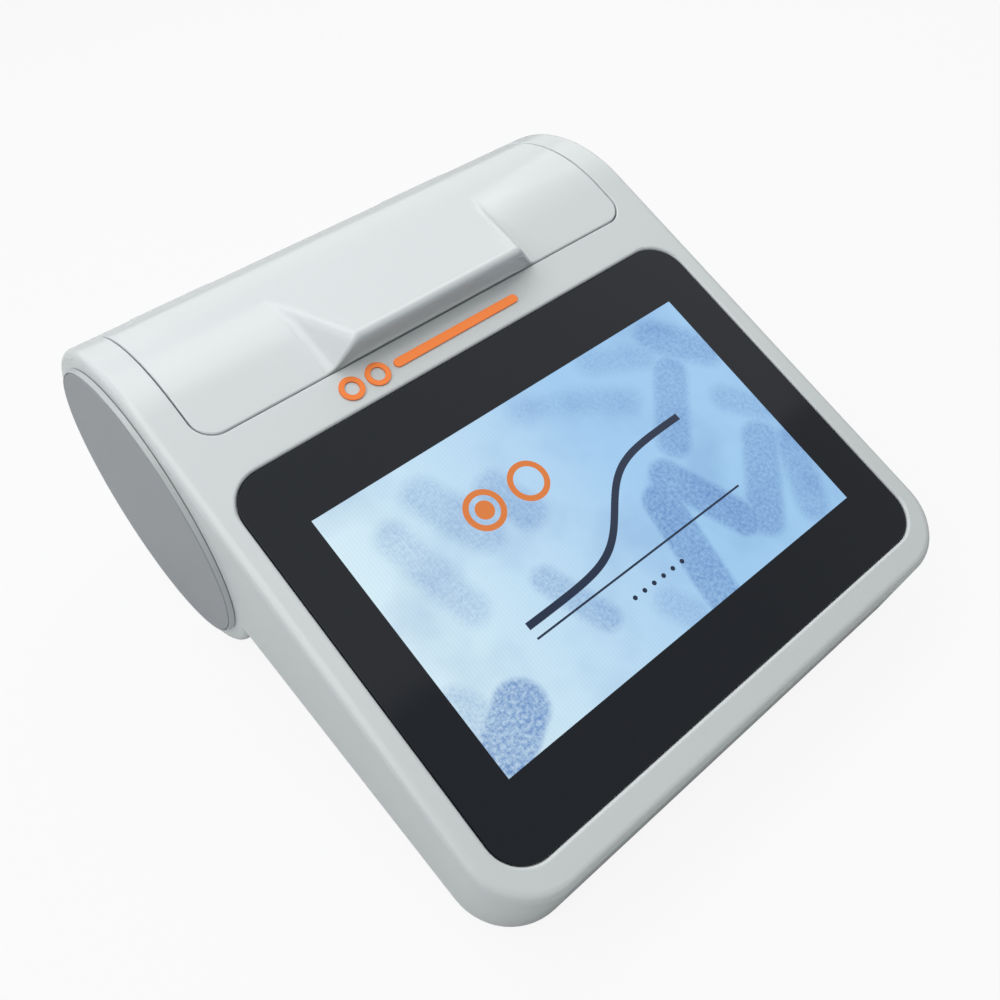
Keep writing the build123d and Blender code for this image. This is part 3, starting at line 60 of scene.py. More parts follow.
# The sRGB curve: a straight foot, and a power above it
SRGB_FOOT = 0.04045
SRGB_FOOT_SLOPE = 12.92
SRGB_OFFSET = 0.055
SRGB_POWER = 2.4

Point = tuple[float, float, float]
Point2 = tuple[float, float]
Colour = tuple[float, float, float, float]
Socket = bpy.types.NodeSocket


def linear(colour: str) -> Colour:
    """Turn an sRGB hex colour into the linear colour that a shader socket takes.

    Args:
        colour: The colour as "#RRGGBB".

    Returns:
        Red, green, blue and an alpha of one.
    """
    channels = []
    for i in (1, 3, 5):
        share = int(colour[i:i + 2], 16) / 255
        if share <= SRGB_FOOT:
            channels.append(share / SRGB_FOOT_SLOPE)
        else:
            channels.append(((share + SRGB_OFFSET) / (1 + SRGB_OFFSET)) ** SRGB_POWER)
    return (*channels, 1.0)


class Graph:
    """Node tree of a material or a world, filled from its sources to its output."""

    def __init__(self, owner: bpy.types.ID) -> None:
        """Start with an empty tree.

        Args:
            owner: New material or world that the tree belongs to.
        """
        owner.use_nodes = True
        self.owner = owner
        self.tree = owner.node_tree
        self.tree.nodes.clear()

    def add(self, kind: str, *values: Any, out: int | str = 0,
            named: Optional[dict[str, Any]] = None, **settings: Any) -> Optional[Socket]:
        """Add a node with its settings, values and links.

        Args:
            kind: Node type without its leading "ShaderNode".
            values: Values or sockets for the first inputs, in order.
            out: Number or name of the output that is wanted.
            named: Values or sockets for inputs that are given by name.
            settings: Properties of the node.

        Returns:
            The wanted output socket, or None from a node that has no outputs.
        """
        node = self.tree.nodes.new("ShaderNode" + kind)
        for key, setting in settings.items():
            setattr(node, key, setting)
        pairs = list(zip(node.inputs, values))
        pairs += [(node.inputs[key], value) for key, value in (named or {}).items()]
        for socket, value in pairs:
            if isinstance(value, Socket):
                self.tree.links.new(value, socket)
            else:
                socket.default_value = value
        return node.outputs[out] if node.outputs else None

    def surface(self, shader: Socket) -> bpy.types.Material:
        """Link a shader to the material's output and return the material."""
        self.add("OutputMaterial", shader)
        return self.owner


class Surface(Enum):
    """How a surface was made, which settles the pattern of its fine relief."""

    SMOOTH = "smooth"
    SPARKED = "sparked"
    BRUSHED = "brushed"
    FOAMED = "foamed"


@dataclass(frozen=True)
class Finish:
    """A finish of one colour, with a fine relief that is sized in millimetres.

    The gloss is a little uneven, in soft patches: wear says by how much, and noise_span is the part
    of the noise's values that it is spread over. Brushed lines run along X.
    """

    name: str
    colour: str
    roughness: float
    surface: Surface = Surface.SMOOTH
    grain_mm: float = 0.6
    relief_mm: float = 0.0
    metallic: float = 0.0
    ior: float = 1.5
    specular: float = 0.5
    wear: float = 0.04
    transmission: float = 0.0
    grain_detail: float = 2.0
    brush_stretch: Point = (0.03, 1.0, 1.0)
    patches_per_metre: float = 18.0
    patch_detail: float = 3.0
    noise_span: Point2 = (0.3, 0.7)

    def relief(self, graph: Graph) -> Socket:
        """Add the relief that this kind of surface has.

        Args:
            graph: Tree that takes the nodes.

        Returns:
            The bent normal.
        """
        stretch = self.brush_stretch if self.surface is Surface.BRUSHED else (1.0, 1.0, 1.0)
        place = graph.add("TexCoord", out="Object")
        place = graph.add("Mapping", named={"Vector": place, "Scale": stretch})
        grain = {"Vector": place, "Scale": 1 / (self.grain_mm * MM)}
        if self.surface is Surface.FOAMED:
            height = graph.add("TexVoronoi", named=grain)
        else:
            height = graph.add("TexNoise", named={**grain, "Detail": self.grain_detail})
        return graph.add("Bump", named={"Height": height, "Distance": self.relief_mm * MM})

    def build(self) -> bpy.types.Material:
        """Build the material.

        Returns:
            A material with the colour, gloss and relief of the finish.
        """
        graph = Graph(bpy.data.materials.new(self.name))
        patches = graph.add("TexNoise", named={
            "Vector": graph.add("TexCoord", out="Object"),
            "Scale": self.patches_per_metre,
            "Detail": self.patch_detail,
        })
        rough = graph.add("MapRange", patches, *self.noise_span, self.roughness - self.wear,
                          self.roughness + self.wear)
        named: dict[str, Any] = {
            "Base Color": linear(self.colour),
            "Metallic": self.metallic,
            "Roughness": rough,
            "IOR": self.ior,
            "Specular IOR Level": self.specular,
            "Transmission Weight": self.transmission,
        }
        if self.relief_mm > 0:
            named["Normal"] = self.relief(graph)
        return graph.surface(graph.add("BsdfPrincipled", named=named))


# ABS, injection moulded in a smooth tool: a soft gloss in which wide lamps show as pale patches.
# The grain of the real tool is about 0.05 mm and would not show, so it is drawn at 0.5 mm.
HOUSING_ABS = Finish("abs_moulded_white", "#DDE3E4", 0.20, Surface.SPARKED, 0.5, 0.0012, wear=0.01)
LID_ABS = Finish("abs_moulded_white_lid", "#DFE5E6", 0.17, Surface.SPARKED, 0.5, 0.0010, wear=0.01)
# ABS ring in light grey, moulded in a polished tool, so it has no grain
COLLAR_ABS = Finish("abs_moulded_light_grey", "#C4C9CA", 0.26, wear=0.01)
# Painted disc in flat mid grey: the paint scatters light, so there is hardly any highlight. Its
# orange peel is drawn at 0.8 mm.
PLATE_PAINT = Finish("paint_sprayed_flat_grey", "#A0A4A8", 0.55, Surface.SPARKED, 0.8, 0.0015,
                     wear=0.01)
# Nylon and ABS mouldings under the lid, dark and sparked so that they swallow stray light; the
# spark texture of 0.1 mm is drawn at 0.6 mm
CHAMBER_PLASTIC = Finish("nylon_moulded_black", "#1B1C1E", 0.55, Surface.SPARKED, 0.6, 0.004)
LINER_PLASTIC = Finish("abs_moulded_black", "#222326", 0.48, Surface.SPARKED, 0.6, 0.003)
# Closed-cell foam, die cut: tiny cells break up the light, drawn at 0.7 mm so that they show
SEAL_FOAM = Finish("epdm_foam_cut", "#17181A", 0.92, Surface.FOAMED, 0.7, 0.05, wear=0.03)
# Adhesive tape, die cut: dull and without a pattern
GASKET_TAPE = Finish("acrylic_tape_cut", "#101113", 0.7)
# Aluminium, milled and black anodised, or rolled and left bare: a metallic sheen with faint lines,
# drawn at 0.4 to 0.5 mm
BLOCK_ANODISED = Finish("aluminium_milled_black_anodised", "#26282B", 0.38, Surface.BRUSHED, 0.5,
                        0.004, 0.85)
TRAY_ALUMINIUM = Finish("aluminium_rolled_sheet", "#C3C4C6", 0.34, Surface.BRUSHED, 0.4, 0.003, 1.0)
# Zinc-plated steel sheet and screws: pale and slightly blue, softly reflecting
BRACKET_STEEL = Finish("steel_zinc_plated_sheet", "#B3B5B8", 0.36, Surface.BRUSHED, 0.5, 0.003, 1.0)
SCREW_STEEL = Finish("steel_zinc_plated_screw", "#B9BABB", 0.28, metallic=1.0)
# Ground steel and small plated metal parts: bright and nearly smooth
PIN_STEEL = Finish("steel_ground_pin", "#C2C2C1", 0.2, metallic=1.0)
MAGNET_NICKEL = Finish("nickel_plated_magnet", "#C9C5BB", 0.16, metallic=1.0)
DIODE_CAN = Finish("gold_plated_can", "#C8B78B", 0.2, metallic=1.0)
SOCKET_STEEL = Finish("steel_nickel_plated_shell", "#C4C3C0", 0.24, metallic=1.0)
# Optical glass, coated or polished, and cast epoxy: part of the light goes in
FILTER_GLASS = Finish("optical_glass_coated_blue", "#3C5FB4", 0.04, ior=1.52, wear=0.01,
                      transmission=0.6)
LENS_GLASS = Finish("optical_glass_polished", "#EAF2F4", 0.03, ior=1.52, wear=0.01,
                    transmission=0.9)
LED_EPOXY = Finish("epoxy_cast_clear", "#DDE8F4", 0.08, ior=1.54, wear=0.02, transmission=0.5)
# Chip housings, transfer moulded: matt black with a fine grain, drawn at 0.4 mm
CHIP_EPOXY = Finish("epoxy_moulded_black", "#1C1C1D", 0.5, Surface.SPARKED, 0.4, 0.003)
# Polycarbonate of the switch, the inlet and the panel's back, from a polished or a satin tool
SWITCH_PLASTIC = Finish("polycarbonate_polished_black", "#111214", 0.2)
ROCKER_PLASTIC = Finish("polycarbonate_satin_black", "#191A1C", 0.34)
# Rubber, compression moulded: dull, with a dry grain drawn at 0.5 mm
FOOT_RUBBER = Finish("rubber_moulded_black", "#232426", 0.8, Surface.SPARKED, 0.5, 0.01)
# Anodised aluminium sheet in copper orange, cut and glued on, with brush lines drawn at 0.4 mm
TRIM_COPPER = Finish("aluminium_anodised_copper", "#C26C3A", 0.26, Surface.BRUSHED, 0.4, 0.003, 1.0)
# White ink, pad printed on the rocker
MARK_PAINT = Finish("paint_pad_printed_white", "#DADCDC", 0.5)


@dataclass(frozen=True)
class DeckFrame:
    """Flat frame of the display: u to the right and v up the slope, round the lit area's middle."""

    tilt_deg: float = 25.5
    centre_mm: Point = (0.0, -49.4297, 65.6840)

    def axes(self) -> tuple[Vector, Vector]:
        """Return the directions of u and v in the part's frame."""
        tilt = math.radians(self.tilt_deg)
        return Vector((1, 0, 0)), Vector((0, math.cos(tilt), math.sin(tilt)))


@dataclass(frozen=True)
class Rod:
    """Soft rod in the picture, from one end to the other."""

    start: Point2
    end: Point2
    radius: float
    blur: float
    strength: float


@dataclass(frozen=True)
class ScreenPicture:
    """Start picture of the instrument: pale blue with soft rods, two wells and a growth curve.

    All sizes are in millimetres from the middle of the lit area. The spans and covers say which
    values of a noise give the least and the most of a layer. The panel's real columns are 0.06 mm
    wide and wouldn't show, so the weave is drawn at about 1 mm.
    """

    deck: DeckFrame = DeckFrame()
    width: float = 152.4
    height: float = 91.44
    sky: str = "#A2CDF2"
    glow: str = "#D8F0FA"
    shade: str = "#5E88C4"
    ink: str = "#1D2A42"
    accent: str = "#DE7C34"
    glow_reach: float = 0.12
    rods: tuple[Rod, ...] = (
        Rod((-71, -39), (-61, -33), 8.5, 3.0, 0.78),
        Rod((-76, -22), (-70, -34), 6.0, 5.0, 0.40),
        Rod((14, -44), (19, -10), 6.5, 2.5, 0.66),
        Rod((27, -4), (39, -30), 6.0, 3.0, 0.62),
        Rod((19, -10), (27, -4), 4.5, 3.0, 0.50),
        Rod((38, 4), (56, 24), 6.0, 4.0, 0.52),
        Rod((46, -34), (66, -12), 6.5, 4.0, 0.56),
        Rod((64, -40), (74, -20), 6.0, 5.0, 0.46),
        Rod((60, 38), (74, 24), 6.5, 6.0, 0.50),
        Rod((66, 6), (75, -4), 5.0, 6.0, 0.40),
        Rod((34, 42), (52, 34), 5.0, 7.0, 0.34),
        Rod((18, 34), (36, 24), 4.5, 7.0, 0.30),
        Rod((-60, 28), (-54, -2), 5.5, 6.0, 0.32),
        Rod((-44, 34), (-36, 14), 6.5, 6.0, 0.34),
        Rod((-24, 24), (-20, 12), 6.0, 5.0, 0.34),
        Rod((-30, -8), (-22, -28), 4.5, 4.0, 0.44),
        Rod((-2, -36), (2, -44), 5.0, 6.0, 0.34),
        Rod((0, 40), (14, 36), 4.0, 7.0, 0.24),
    )
    grain_scale: float = 0.8
    grain_detail: float = 5.0
    grain_roughness: float = 0.7
    grain_span: Point2 = (0.36, 0.64)
    grain_cover: Point2 = (0.35, 1.15)
    cloud_scale: float = 0.035
    cloud_detail: float = 3.0
    cloud_span: Point2 = (0.46, 0.7)
    cloud_cover: Point2 = (0.0, 0.24)
    curve_low: float = -16.0
    curve_rise: float = 26.0
    curve_steepness: float = 0.16
    curve_middle: float = 4.0
    curve_half_width: float = 1.25
    curve_span: Point2 = (-44.0, 46.0)
    rule_height: float = -20.5
    rule_half_width: float = 0.35
    dots: int = 6
    dot_pitch: float = 4.2
    dot_radius: float = 0.8
    dot_drop: float = 8.0
    wells: tuple[Point2, ...] = ((-31.0, 20.0), (-13.0, 20.0))
    well_radius: float = 7.0
    well_wall: float = 2.0
    core_radius: float = 3.2
    weave_mm: float = 1.1
    weave_depth: float = 0.05

    def coordinates(self, graph: Graph) -> tuple[Socket, Socket, Socket]:
        """Add nodes that give a point's place on the deck in millimetres.

        Args:
            graph: Tree that takes the nodes.

        Returns:
            Sockets of u, of v, and of both as a flat vector.
        """
        right, up = self.deck.axes()
        centre = Vector(self.deck.centre_mm) * MM
        place = graph.add("TexCoord", out="Object")
        local = graph.add("VectorMath", place, tuple(centre), operation="SUBTRACT")
        local = graph.add("VectorMath", local, named={"Scale": 1 / MM}, operation="SCALE")
        u = graph.add("VectorMath", local, tuple(right), out="Value", operation="DOT_PRODUCT")
        v = graph.add("VectorMath", local, tuple(up), out="Value", operation="DOT_PRODUCT")
        return u, v, graph.add("CombineXYZ", u, v, 0.0)

    def band(self, graph: Graph, across: Socket, level: float, half: float, along: Socket,
             span: Point2) -> Socket:
        """Add nodes that are one in a straight band.

        Args:
            graph: Tree that takes the nodes.
            across: Coordinate across the band.
            level: Where the band's middle line lies.
            half: Half of the band's width.
            along: Coordinate along the band.
            span: Where the band starts and ends.

        Returns:
            Socket that is one inside the band and zero outside.
        """
        inside = graph.add("Math", across, level, half, operation="COMPARE")
        middle, reach = (span[0] + span[1]) / 2, (span[1] - span[0]) / 2
        within = graph.add("Math", along, middle, reach, operation="COMPARE")
        return graph.add("Math", inside, within, operation="MULTIPLY")

    def ring(self, graph: Graph, flat: Socket, centre: Point2, inner: float,
             outer: float) -> Socket:
        """Add nodes that are one between two circles.

        Args:
            graph: Tree that takes the nodes.
            flat: Place on the deck.
            centre: Middle of both circles.
            inner: Radius of the inner circle; minus the outer radius gives a full disc.
            outer: Radius of the outer circle.

        Returns:
            Socket that is one between the circles and zero elsewhere.
        """
        gap = graph.add("VectorMath", flat, (*centre, 0.0), out="Value", operation="DISTANCE")
        middle, half = (inner + outer) / 2, (outer - inner) / 2
        return graph.add("Math", gap, middle, half, operation="COMPARE")

    def rod(self, graph: Graph, flat: Socket, rod: Rod) -> Socket:
        """Add nodes for one soft rod, from the distance to its middle line.

        Args:
            graph: Tree that takes the nodes.
            flat: Place on the deck.
            rod: The rod.

        Returns:
            Socket of how far the rod covers a point.
        """
        start = Vector((*rod.start, 0))
        run = Vector((*rod.end, 0)) - start
        offset = graph.add("VectorMath", flat, tuple(start), operation="SUBTRACT")
        along = graph.add("VectorMath", offset, tuple(run / run.length_squared), out="Value",
                          operation="DOT_PRODUCT")
        along = graph.add("Clamp", along, 0.0, 1.0)
        nearest = graph.add("VectorMath", tuple(run), named={"Scale": along}, operation="SCALE")
        gap = graph.add("VectorMath", offset, nearest, out="Value", operation="DISTANCE")
        near, far = rod.radius - rod.blur / 2, rod.radius + rod.blur / 2
        return graph.add("MapRange", gap, near, far, rod.strength, 0.0,
                         interpolation_type="SMOOTHSTEP")

    def shade_cover(self, graph: Graph, flat: Socket) -> Socket:
        """Add nodes for the grainy rods and the faint clouds round them.

        Args:
            graph: Tree that takes the nodes.
            flat: Place on the deck.

        Returns:
            Socket of how far the shade covers a point.
        """
        cover: Any = 0.0
        for rod in self.rods:
            cover = graph.add("Math", self.rod(graph, flat, rod), cover, operation="MAXIMUM")
        grain = graph.add("TexNoise", named={
            "Vector": flat,
            "Scale": self.grain_scale,
            "Detail": self.grain_detail,
            "Roughness": self.grain_roughness,
        })
        grain = graph.add("MapRange", grain, *self.grain_span, *self.grain_cover)
        cover = graph.add("Math", cover, grain, operation="MULTIPLY")
        clouds = graph.add("TexNoise", named={
            "Vector": flat,
            "Scale": self.cloud_scale,
            "Detail": self.cloud_detail,
        })
        clouds = graph.add("MapRange", clouds, *self.cloud_span, *self.cloud_cover)
        return graph.add("Math", cover, clouds, operation="ADD", use_clamp=True)

    def curve_cover(self, graph: Graph, u: Socket, v: Socket) -> Socket:
        """Add nodes for the growth curve, a smooth step from a low to a high level.

        Args:
            graph: Tree that takes the nodes.
            u: Place across the deck.
            v: Place up the deck.

        Returns:
            Socket that is one on the curve and zero elsewhere.
        """
        steep = self.curve_steepness
        power = graph.add("Math", u, -steep, steep * self.curve_middle, operation="MULTIPLY_ADD")
        power = graph.add("Math", math.e, power, operation="POWER")
        power = graph.add("Math", power, 1.0, operation="ADD")
        share = graph.add("Math", 1.0, power, operation="DIVIDE")
        level = graph.add("Math", share, self.curve_rise, self.curve_low, operation="MULTIPLY_ADD")
        rest = graph.add("Math", 1.0, share, operation="SUBTRACT")
        slope = graph.add("Math", share, rest, operation="MULTIPLY")
        slope = graph.add("Math", slope, self.curve_rise * steep, operation="MULTIPLY")
        slope = graph.add("Math", slope, slope, 1.0, operation="MULTIPLY_ADD")
        slope = graph.add("Math", slope, operation="SQRT")
        gap = graph.add("Math", v, level, operation="SUBTRACT")
        gap = graph.add("Math", gap, slope, operation="DIVIDE")
        return self.band(graph, gap, 0.0, self.curve_half_width, u, self.curve_span)

    def ink_cover(self, graph: Graph, u: Socket, v: Socket, flat: Socket) -> Socket:
        """Add nodes for what is drawn in ink: the curve, the rule below it and the dots.

        Args:
            graph: Tree that takes the nodes.
            u: Place across the deck.
            v: Place up the deck.
            flat: Both as a flat vector.

        Returns:
            Socket that is one on the ink and zero elsewhere.
        """
        rule = self.band(graph, v, self.rule_height, self.rule_half_width, u, self.curve_span)
        cover = graph.add("Math", self.curve_cover(graph, u, v), rule, operation="MAXIMUM")
        first = -self.dot_pitch * (self.dots - 1) / 2
        for i in range(self.dots):
            centre = (first + i * self.dot_pitch, self.rule_height - self.dot_drop)
            dot = self.ring(graph, flat, centre, -self.dot_radius, self.dot_radius)
            cover = graph.add("Math", cover, dot, operation="MAXIMUM")
        return cover

    def accent_cover(self, graph: Graph, flat: Socket) -> Socket:
        """Add nodes for the two wells as rings, the first with a core.

        Args:
            graph: Tree that takes the nodes.
            flat: Place on the deck.

        Returns:
            Socket that is one on the rings and the core, and zero elsewhere.
        """
        cover = self.ring(graph, flat, self.wells[0], -self.core_radius, self.core_radius)
        for centre in self.wells:
            wall = self.ring(graph, flat, centre, self.well_radius - self.well_wall,
                             self.well_radius)
            cover = graph.add("Math", cover, wall, operation="MAXIMUM")
        return cover

    def weave(self, graph: Graph, u: Socket) -> Socket:
        """Add nodes for the panel's columns, which darken the picture a little in fine lines.

        Args:
            graph: Tree that takes the nodes.
            u: Place across the deck.

        Returns:
            Socket of the brightness that is left.
        """
        wave = graph.add("Math", u, 2 * math.pi / self.weave_mm, operation="MULTIPLY")
        wave = graph.add("Math", wave, operation="SINE")
        return graph.add("MapRange", wave, -1.0, 1.0, 1.0 - self.weave_depth, 1.0)

    def paint(self, graph: Graph) -> tuple[Socket, Socket]:
        """Add the whole picture, layer by layer.

        Args:
            graph: Tree that takes the nodes.

        Returns:
            Sockets of the picture's colour and of the lit area, which is one inside and zero
            outside.
        """
        u, v, flat = self.coordinates(graph)
        half = self.width / 2
        colour: Any = linear(self.sky)
        layers = (
            (graph.add("MapRange", u, -half, self.width * self.glow_reach, 1.0, 0.0), self.glow),
            (self.shade_cover(graph, flat), self.shade),
            (self.ink_cover(graph, u, v, flat), self.ink),
            (self.accent_cover(graph, flat), self.accent),
        )
        for cover, above in layers:
            colour = graph.add("Mix", cover, named={"A": colour, "B": linear(above)}, out="Result",
                               data_type="RGBA")
        colour = graph.add("VectorMath", colour, named={"Scale": self.weave(graph, u)},
                           operation="SCALE")
        return colour, self.band(graph, v, 0.0, self.height / 2, u, (-half, half))


@dataclass(frozen=True)
class DisplayGlass:
    """Float glass, polished and printed black on its back, with a lit panel behind a window."""

    name: str = "float_glass_back_printed"
    print_colour: str = "#0A121C"
    unlit: str = "#000000"
    roughness: float = 0.09
    ior: float = 1.52
    specular: float = 0.19
    brightness: float = 0.96
    picture: ScreenPicture = ScreenPicture()

    def build(self) -> bpy.types.Material:
        """Build the material.

        Returns:
            A black gloss that glows with the picture inside the lit area.
        """
        graph = Graph(bpy.data.materials.new(self.name))
        colour, lit = self.picture.paint(graph)
        light = graph.add("Mix", lit, named={"A": linear(self.unlit), "B": colour}, out="Result",
                          data_type="RGBA")
        return graph.surface(graph.add("BsdfPrincipled", named={
            "Base Color": linear(self.print_colour),
            "Roughness": self.roughness,
            "IOR": self.ior,
            "Specular IOR Level": self.specular,
            "Emission Color": light,
            "Emission Strength": self.brightness,
        }))


@dataclass(frozen=True)
class BoardLaminate:
    """Glass-epoxy laminate under green solder mask, with faint copper tracks below the mask."""

    name: str = "fr4_solder_mask_green"
    mask: str = "#12402A"
    track: str = "#1F6040"
    track_mm: float = 2.4
    track_edge: Point2 = (0.40, 0.46)
    roughness: float = 0.32
    ior: float = 1.5

    def build(self) -> bpy.types.Material:
        """Build the material.

        Returns:
            A green gloss with tracks, where the cells of a pattern meet.
        """
        graph = Graph(bpy.data.materials.new(self.name))
        cells = graph.add("TexVoronoi", distance="MANHATTAN", named={
            "Vector": graph.add("TexCoord", out="Object"),
            "Scale": 1 / (self.track_mm * MM),
        })
        edge = graph.add("MapRange", cells, *self.track_edge, 0.0, 1.0)
        colour = graph.add("Mix", edge, named={"A": linear(self.mask), "B": linear(self.track)},
                           out="Result", data_type="RGBA")
        return graph.surface(graph.add("BsdfPrincipled", named={
            "Base Color": colour,
            "Roughness": self.roughness,
            "IOR": self.ior,
        }))


AnyFinish = Finish | DisplayGlass | BoardLaminate


class MaterialStore:
    """Builds each finish once and hands it out by name."""

    def __init__(self) -> None:
        """Start with no materials."""
        self.made: dict[str, bpy.types.Material] = {}

    def get(self, finish: AnyFinish) -> bpy.types.Material:
        """Look up the material of a finish, which is built at the first call.

        Args:
            finish: The finish.

        Returns:
            Its material.
        """
        if finish.name not in self.made:
            self.made[finish.name] = finish.build()
        return self.made[finish.name]


@dataclass
class Assembly:
    """Base of the sub-assemblies: it dresses CAD nodes and hangs new pieces on their bodies.

    Args:
        store: Materials that are shared by all sub-assemblies.
    """

    frame: dict[str, Any]
    store: MaterialStore

    def dress(self, finish: AnyFinish, *nodes: str) -> None:
        """Give CAD nodes a finish.

        Args:
            finish: The finish.
            nodes: Names of the nodes.
        """
        material = self.store.get(finish)
        for name in nodes:
            thing = self.frame["nodes"][name]
            thing.data.materials.clear()
            thing.data.materials.append(material)
            LOG.info("dressed %s in %s", name, material.name)

    def piece(self, name: str, vertices: Sequence[Point], faces: Sequence[tuple[int, ...]],
              body: str, slot: str, finish: AnyFinish) -> None:
        """Make a mesh piece that rides on a body.

        Args:
            name: Name of the piece.
            vertices: Points in metres, in the part's frame.
            faces: Corner numbers of each face.
            body: Body that it rides on.
            slot: Material slot of the record; not used.
            finish: Its finish.
        """
        mesh = bpy.data.meshes.new(name)
        mesh.from_pydata(vertices, [], faces)
        mesh.validate()
        mesh.update()
        thing = bpy.data.objects.new(name, mesh)
        bpy.context.scene.collection.objects.link(thing)
        mesh.materials.append(self.store.get(finish))
        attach(thing, body)
        LOG.info("made %s on %s", name, body)


@dataclass
class Housing(Assembly):
    """Upper and lower shell, feet, base screws and the metal trim on the deck."""

    shells: tuple[str, ...] = ("upper_housing", "lower_housing")
    feet: tuple[str, ...] = ("front_feet", "rear_feet")

    def build(self) -> None:
        """Dress the shells, the feet, the screws below them and the trim."""
        self.dress(HOUSING_ABS, *self.shells)
        self.dress(FOOT_RUBBER, *self.feet)
        self.dress(SCREW_STEEL, "base_screws")
        self.dress(TRIM_COPPER, "trim_inlay")


@dataclass
class EndCovers(Assembly):
    """Collar and plate at each end of the barrel."""

    sides: tuple[str, ...] = ("left", "right")

    def build(self) -> None:
        """Dress both ends alike."""
        for side in self.sides:
            self.dress(COLLAR_ABS, f"{side}_end_collar")
            self.dress(PLATE_PAINT, f"{side}_end_plate")


@dataclass
class Display(Assembly):
    """Cover glass with its picture, and the stack behind it."""

    glass: DisplayGlass = DisplayGlass()

    def build(self) -> None:
        """Dress the glass, the panel, its tray and the bracket."""
        self.dress(self.glass, "cover_glass")
        self.dress(GASKET_TAPE, "glass_gasket")
        self.dress(SWITCH_PLASTIC, "lcd_panel")
        self.dress(TRAY_ALUMINIUM, "lcd_tray")
        self.dress(BRACKET_STEEL, "display_bracket")
        self.dress(SCREW_STEEL, "bracket_screws")


@dataclass
class Lid(Assembly):
    """Lid shell, liner with light hood, seal, magnets with their keepers, and hinge pins."""

    def build(self) -> None:
        """Dress the lid's nodes."""
        self.dress(LID_ABS, "lid_shell")
        self.dress(LINER_PLASTIC, "lid_liner")
        self.dress(SEAL_FOAM, "lid_seal")
        self.dress(MAGNET_NICKEL, "lid_magnets")
        self.dress(BRACKET_STEEL, "keeper_plates")
        self.dress(PIN_STEEL, "hinge_pins")


@dataclass
class SampleChamber(Assembly):
    """Well deck, sample block and the optical parts round it."""

    def build(self) -> None:
        """Dress the chamber's nodes."""
        self.dress(CHAMBER_PLASTIC, "well_deck")
        self.dress(BLOCK_ANODISED, "sample_block")
        self.dress(FILTER_GLASS, "excitation_filters", "emission_filters")
        self.dress(LENS_GLASS, "collimating_lenses")
        self.dress(LED_EPOXY, "excitation_leds")
        self.dress(DIODE_CAN, "photodiodes")
        self.dress(SCREW_STEEL, "deck_screws")


@dataclass
class Electronics(Assembly):
    """Boards, their parts, the sockets, and the switch with its printed marks.

    The rocker's sizes are in millimetres. Its two faces slope away from the middle line by
    face_slope over half of its height, and the whole rocker leans by lean_deg about its pivot.
    """

    boards: tuple[str, ...] = ("main_board", "led_board", "detector_boards", "port_board")
    laminate: BoardLaminate = BoardLaminate()
    pivot: Point = (-22.0, 102.145, 36.5)
    lean_deg: float = 8.0
    face_middle: float = 4.5
    face_slope: float = 1.1
    half_height: float = 7.4
    mark_height: float = 4.4
    mark_proud: float = 0.03
    bar_width: float = 0.5
    bar_height: float = 2.6
    ring_radii: Point2 = (0.85, 1.3)
    ring_steps: int = 48

    def on_rocker(self, across: float, height: float) -> Point:
        """Turn a place on the rocker's outer faces into a point of the part's frame in metres.

        Args:
            across: Distance to the right of the rocker's middle, seen from behind, in millimetres.
            height: Height above the middle line along the rocker, in millimetres.

        Returns:
            The point, a hair proud of the face.
        """
        lean = math.radians(self.lean_deg)
        slope = self.face_slope * abs(height) / self.half_height
        out = self.face_middle + slope + self.mark_proud
        y = out * math.cos(lean) + height * math.sin(lean)
        z = height * math.cos(lean) - out * math.sin(lean)
        x0, y0, z0 = self.pivot
        return ((x0 - across) * MM, (y0 + y) * MM, (z0 + z) * MM)

    def print_marks(self) -> None:
        """Print the I and the O on the rocker, as flat pieces that swing with it."""
        w, h = self.bar_width / 2, self.bar_height / 2
        corners = ((-w, -h), (w, -h), (w, h), (-w, h))
        bar = [self.on_rocker(x, self.mark_height + z) for x, z in corners]
        self.piece("rocker_mark_on", bar, [(0, 1, 2, 3)], "rocker", "switch_plastic", MARK_PAINT)
        circles, faces = [], []
        for i in range(self.ring_steps):
            turn = 2 * math.pi * i / self.ring_steps
            for radius in self.ring_radii:
                x, z = radius * math.cos(turn), radius * math.sin(turn)
                circles.append(self.on_rocker(x, z - self.mark_height))
            a, b = 2 * i, 2 * ((i + 1) % self.ring_steps)
            faces.append((a, a + 1, b + 1, b))
        self.piece("rocker_mark_off", circles, faces, "rocker", "switch_plastic", MARK_PAINT)

    def build(self) -> None:
        """Dress the boards and what is on them, and print the switch's marks."""
        self.dress(self.laminate, *self.boards)
        self.dress(CHIP_EPOXY, "board_parts")
        self.dress(SCREW_STEEL, "board_screws", "port_screws")
        self.dress(SWITCH_PLASTIC, "switch_body", "dc_inlet")
        self.dress(ROCKER_PLASTIC, "power_rocker")
        self.dress(SOCKET_STEEL, "usb_socket")
        self.print_marks()


@dataclass(frozen=True)
class Softbox:
    """White area lamp of the studio: its place, its size in metres, and what it points at."""

    name: str
    place: Point
    size: Point2
    power: float
    aim: Point = (0.0, 0.0, 0.05)

    def build(self) -> None:
        """Put up the lamp."""
        data = bpy.data.lights.new(self.name, "AREA")
        data.shape = "RECTANGLE"
        data.size, data.size_y = self.size
        data.energy = self.power
        lamp = bpy.data.objects.new(self.name, data)
        bpy.context.scene.collection.objects.link(lamp)
        lamp.location = self.place
        towards = Vector(self.aim) - Vector(self.place)
        lamp.rotation_euler = towards.to_track_quat("-Z", "Y").to_euler()


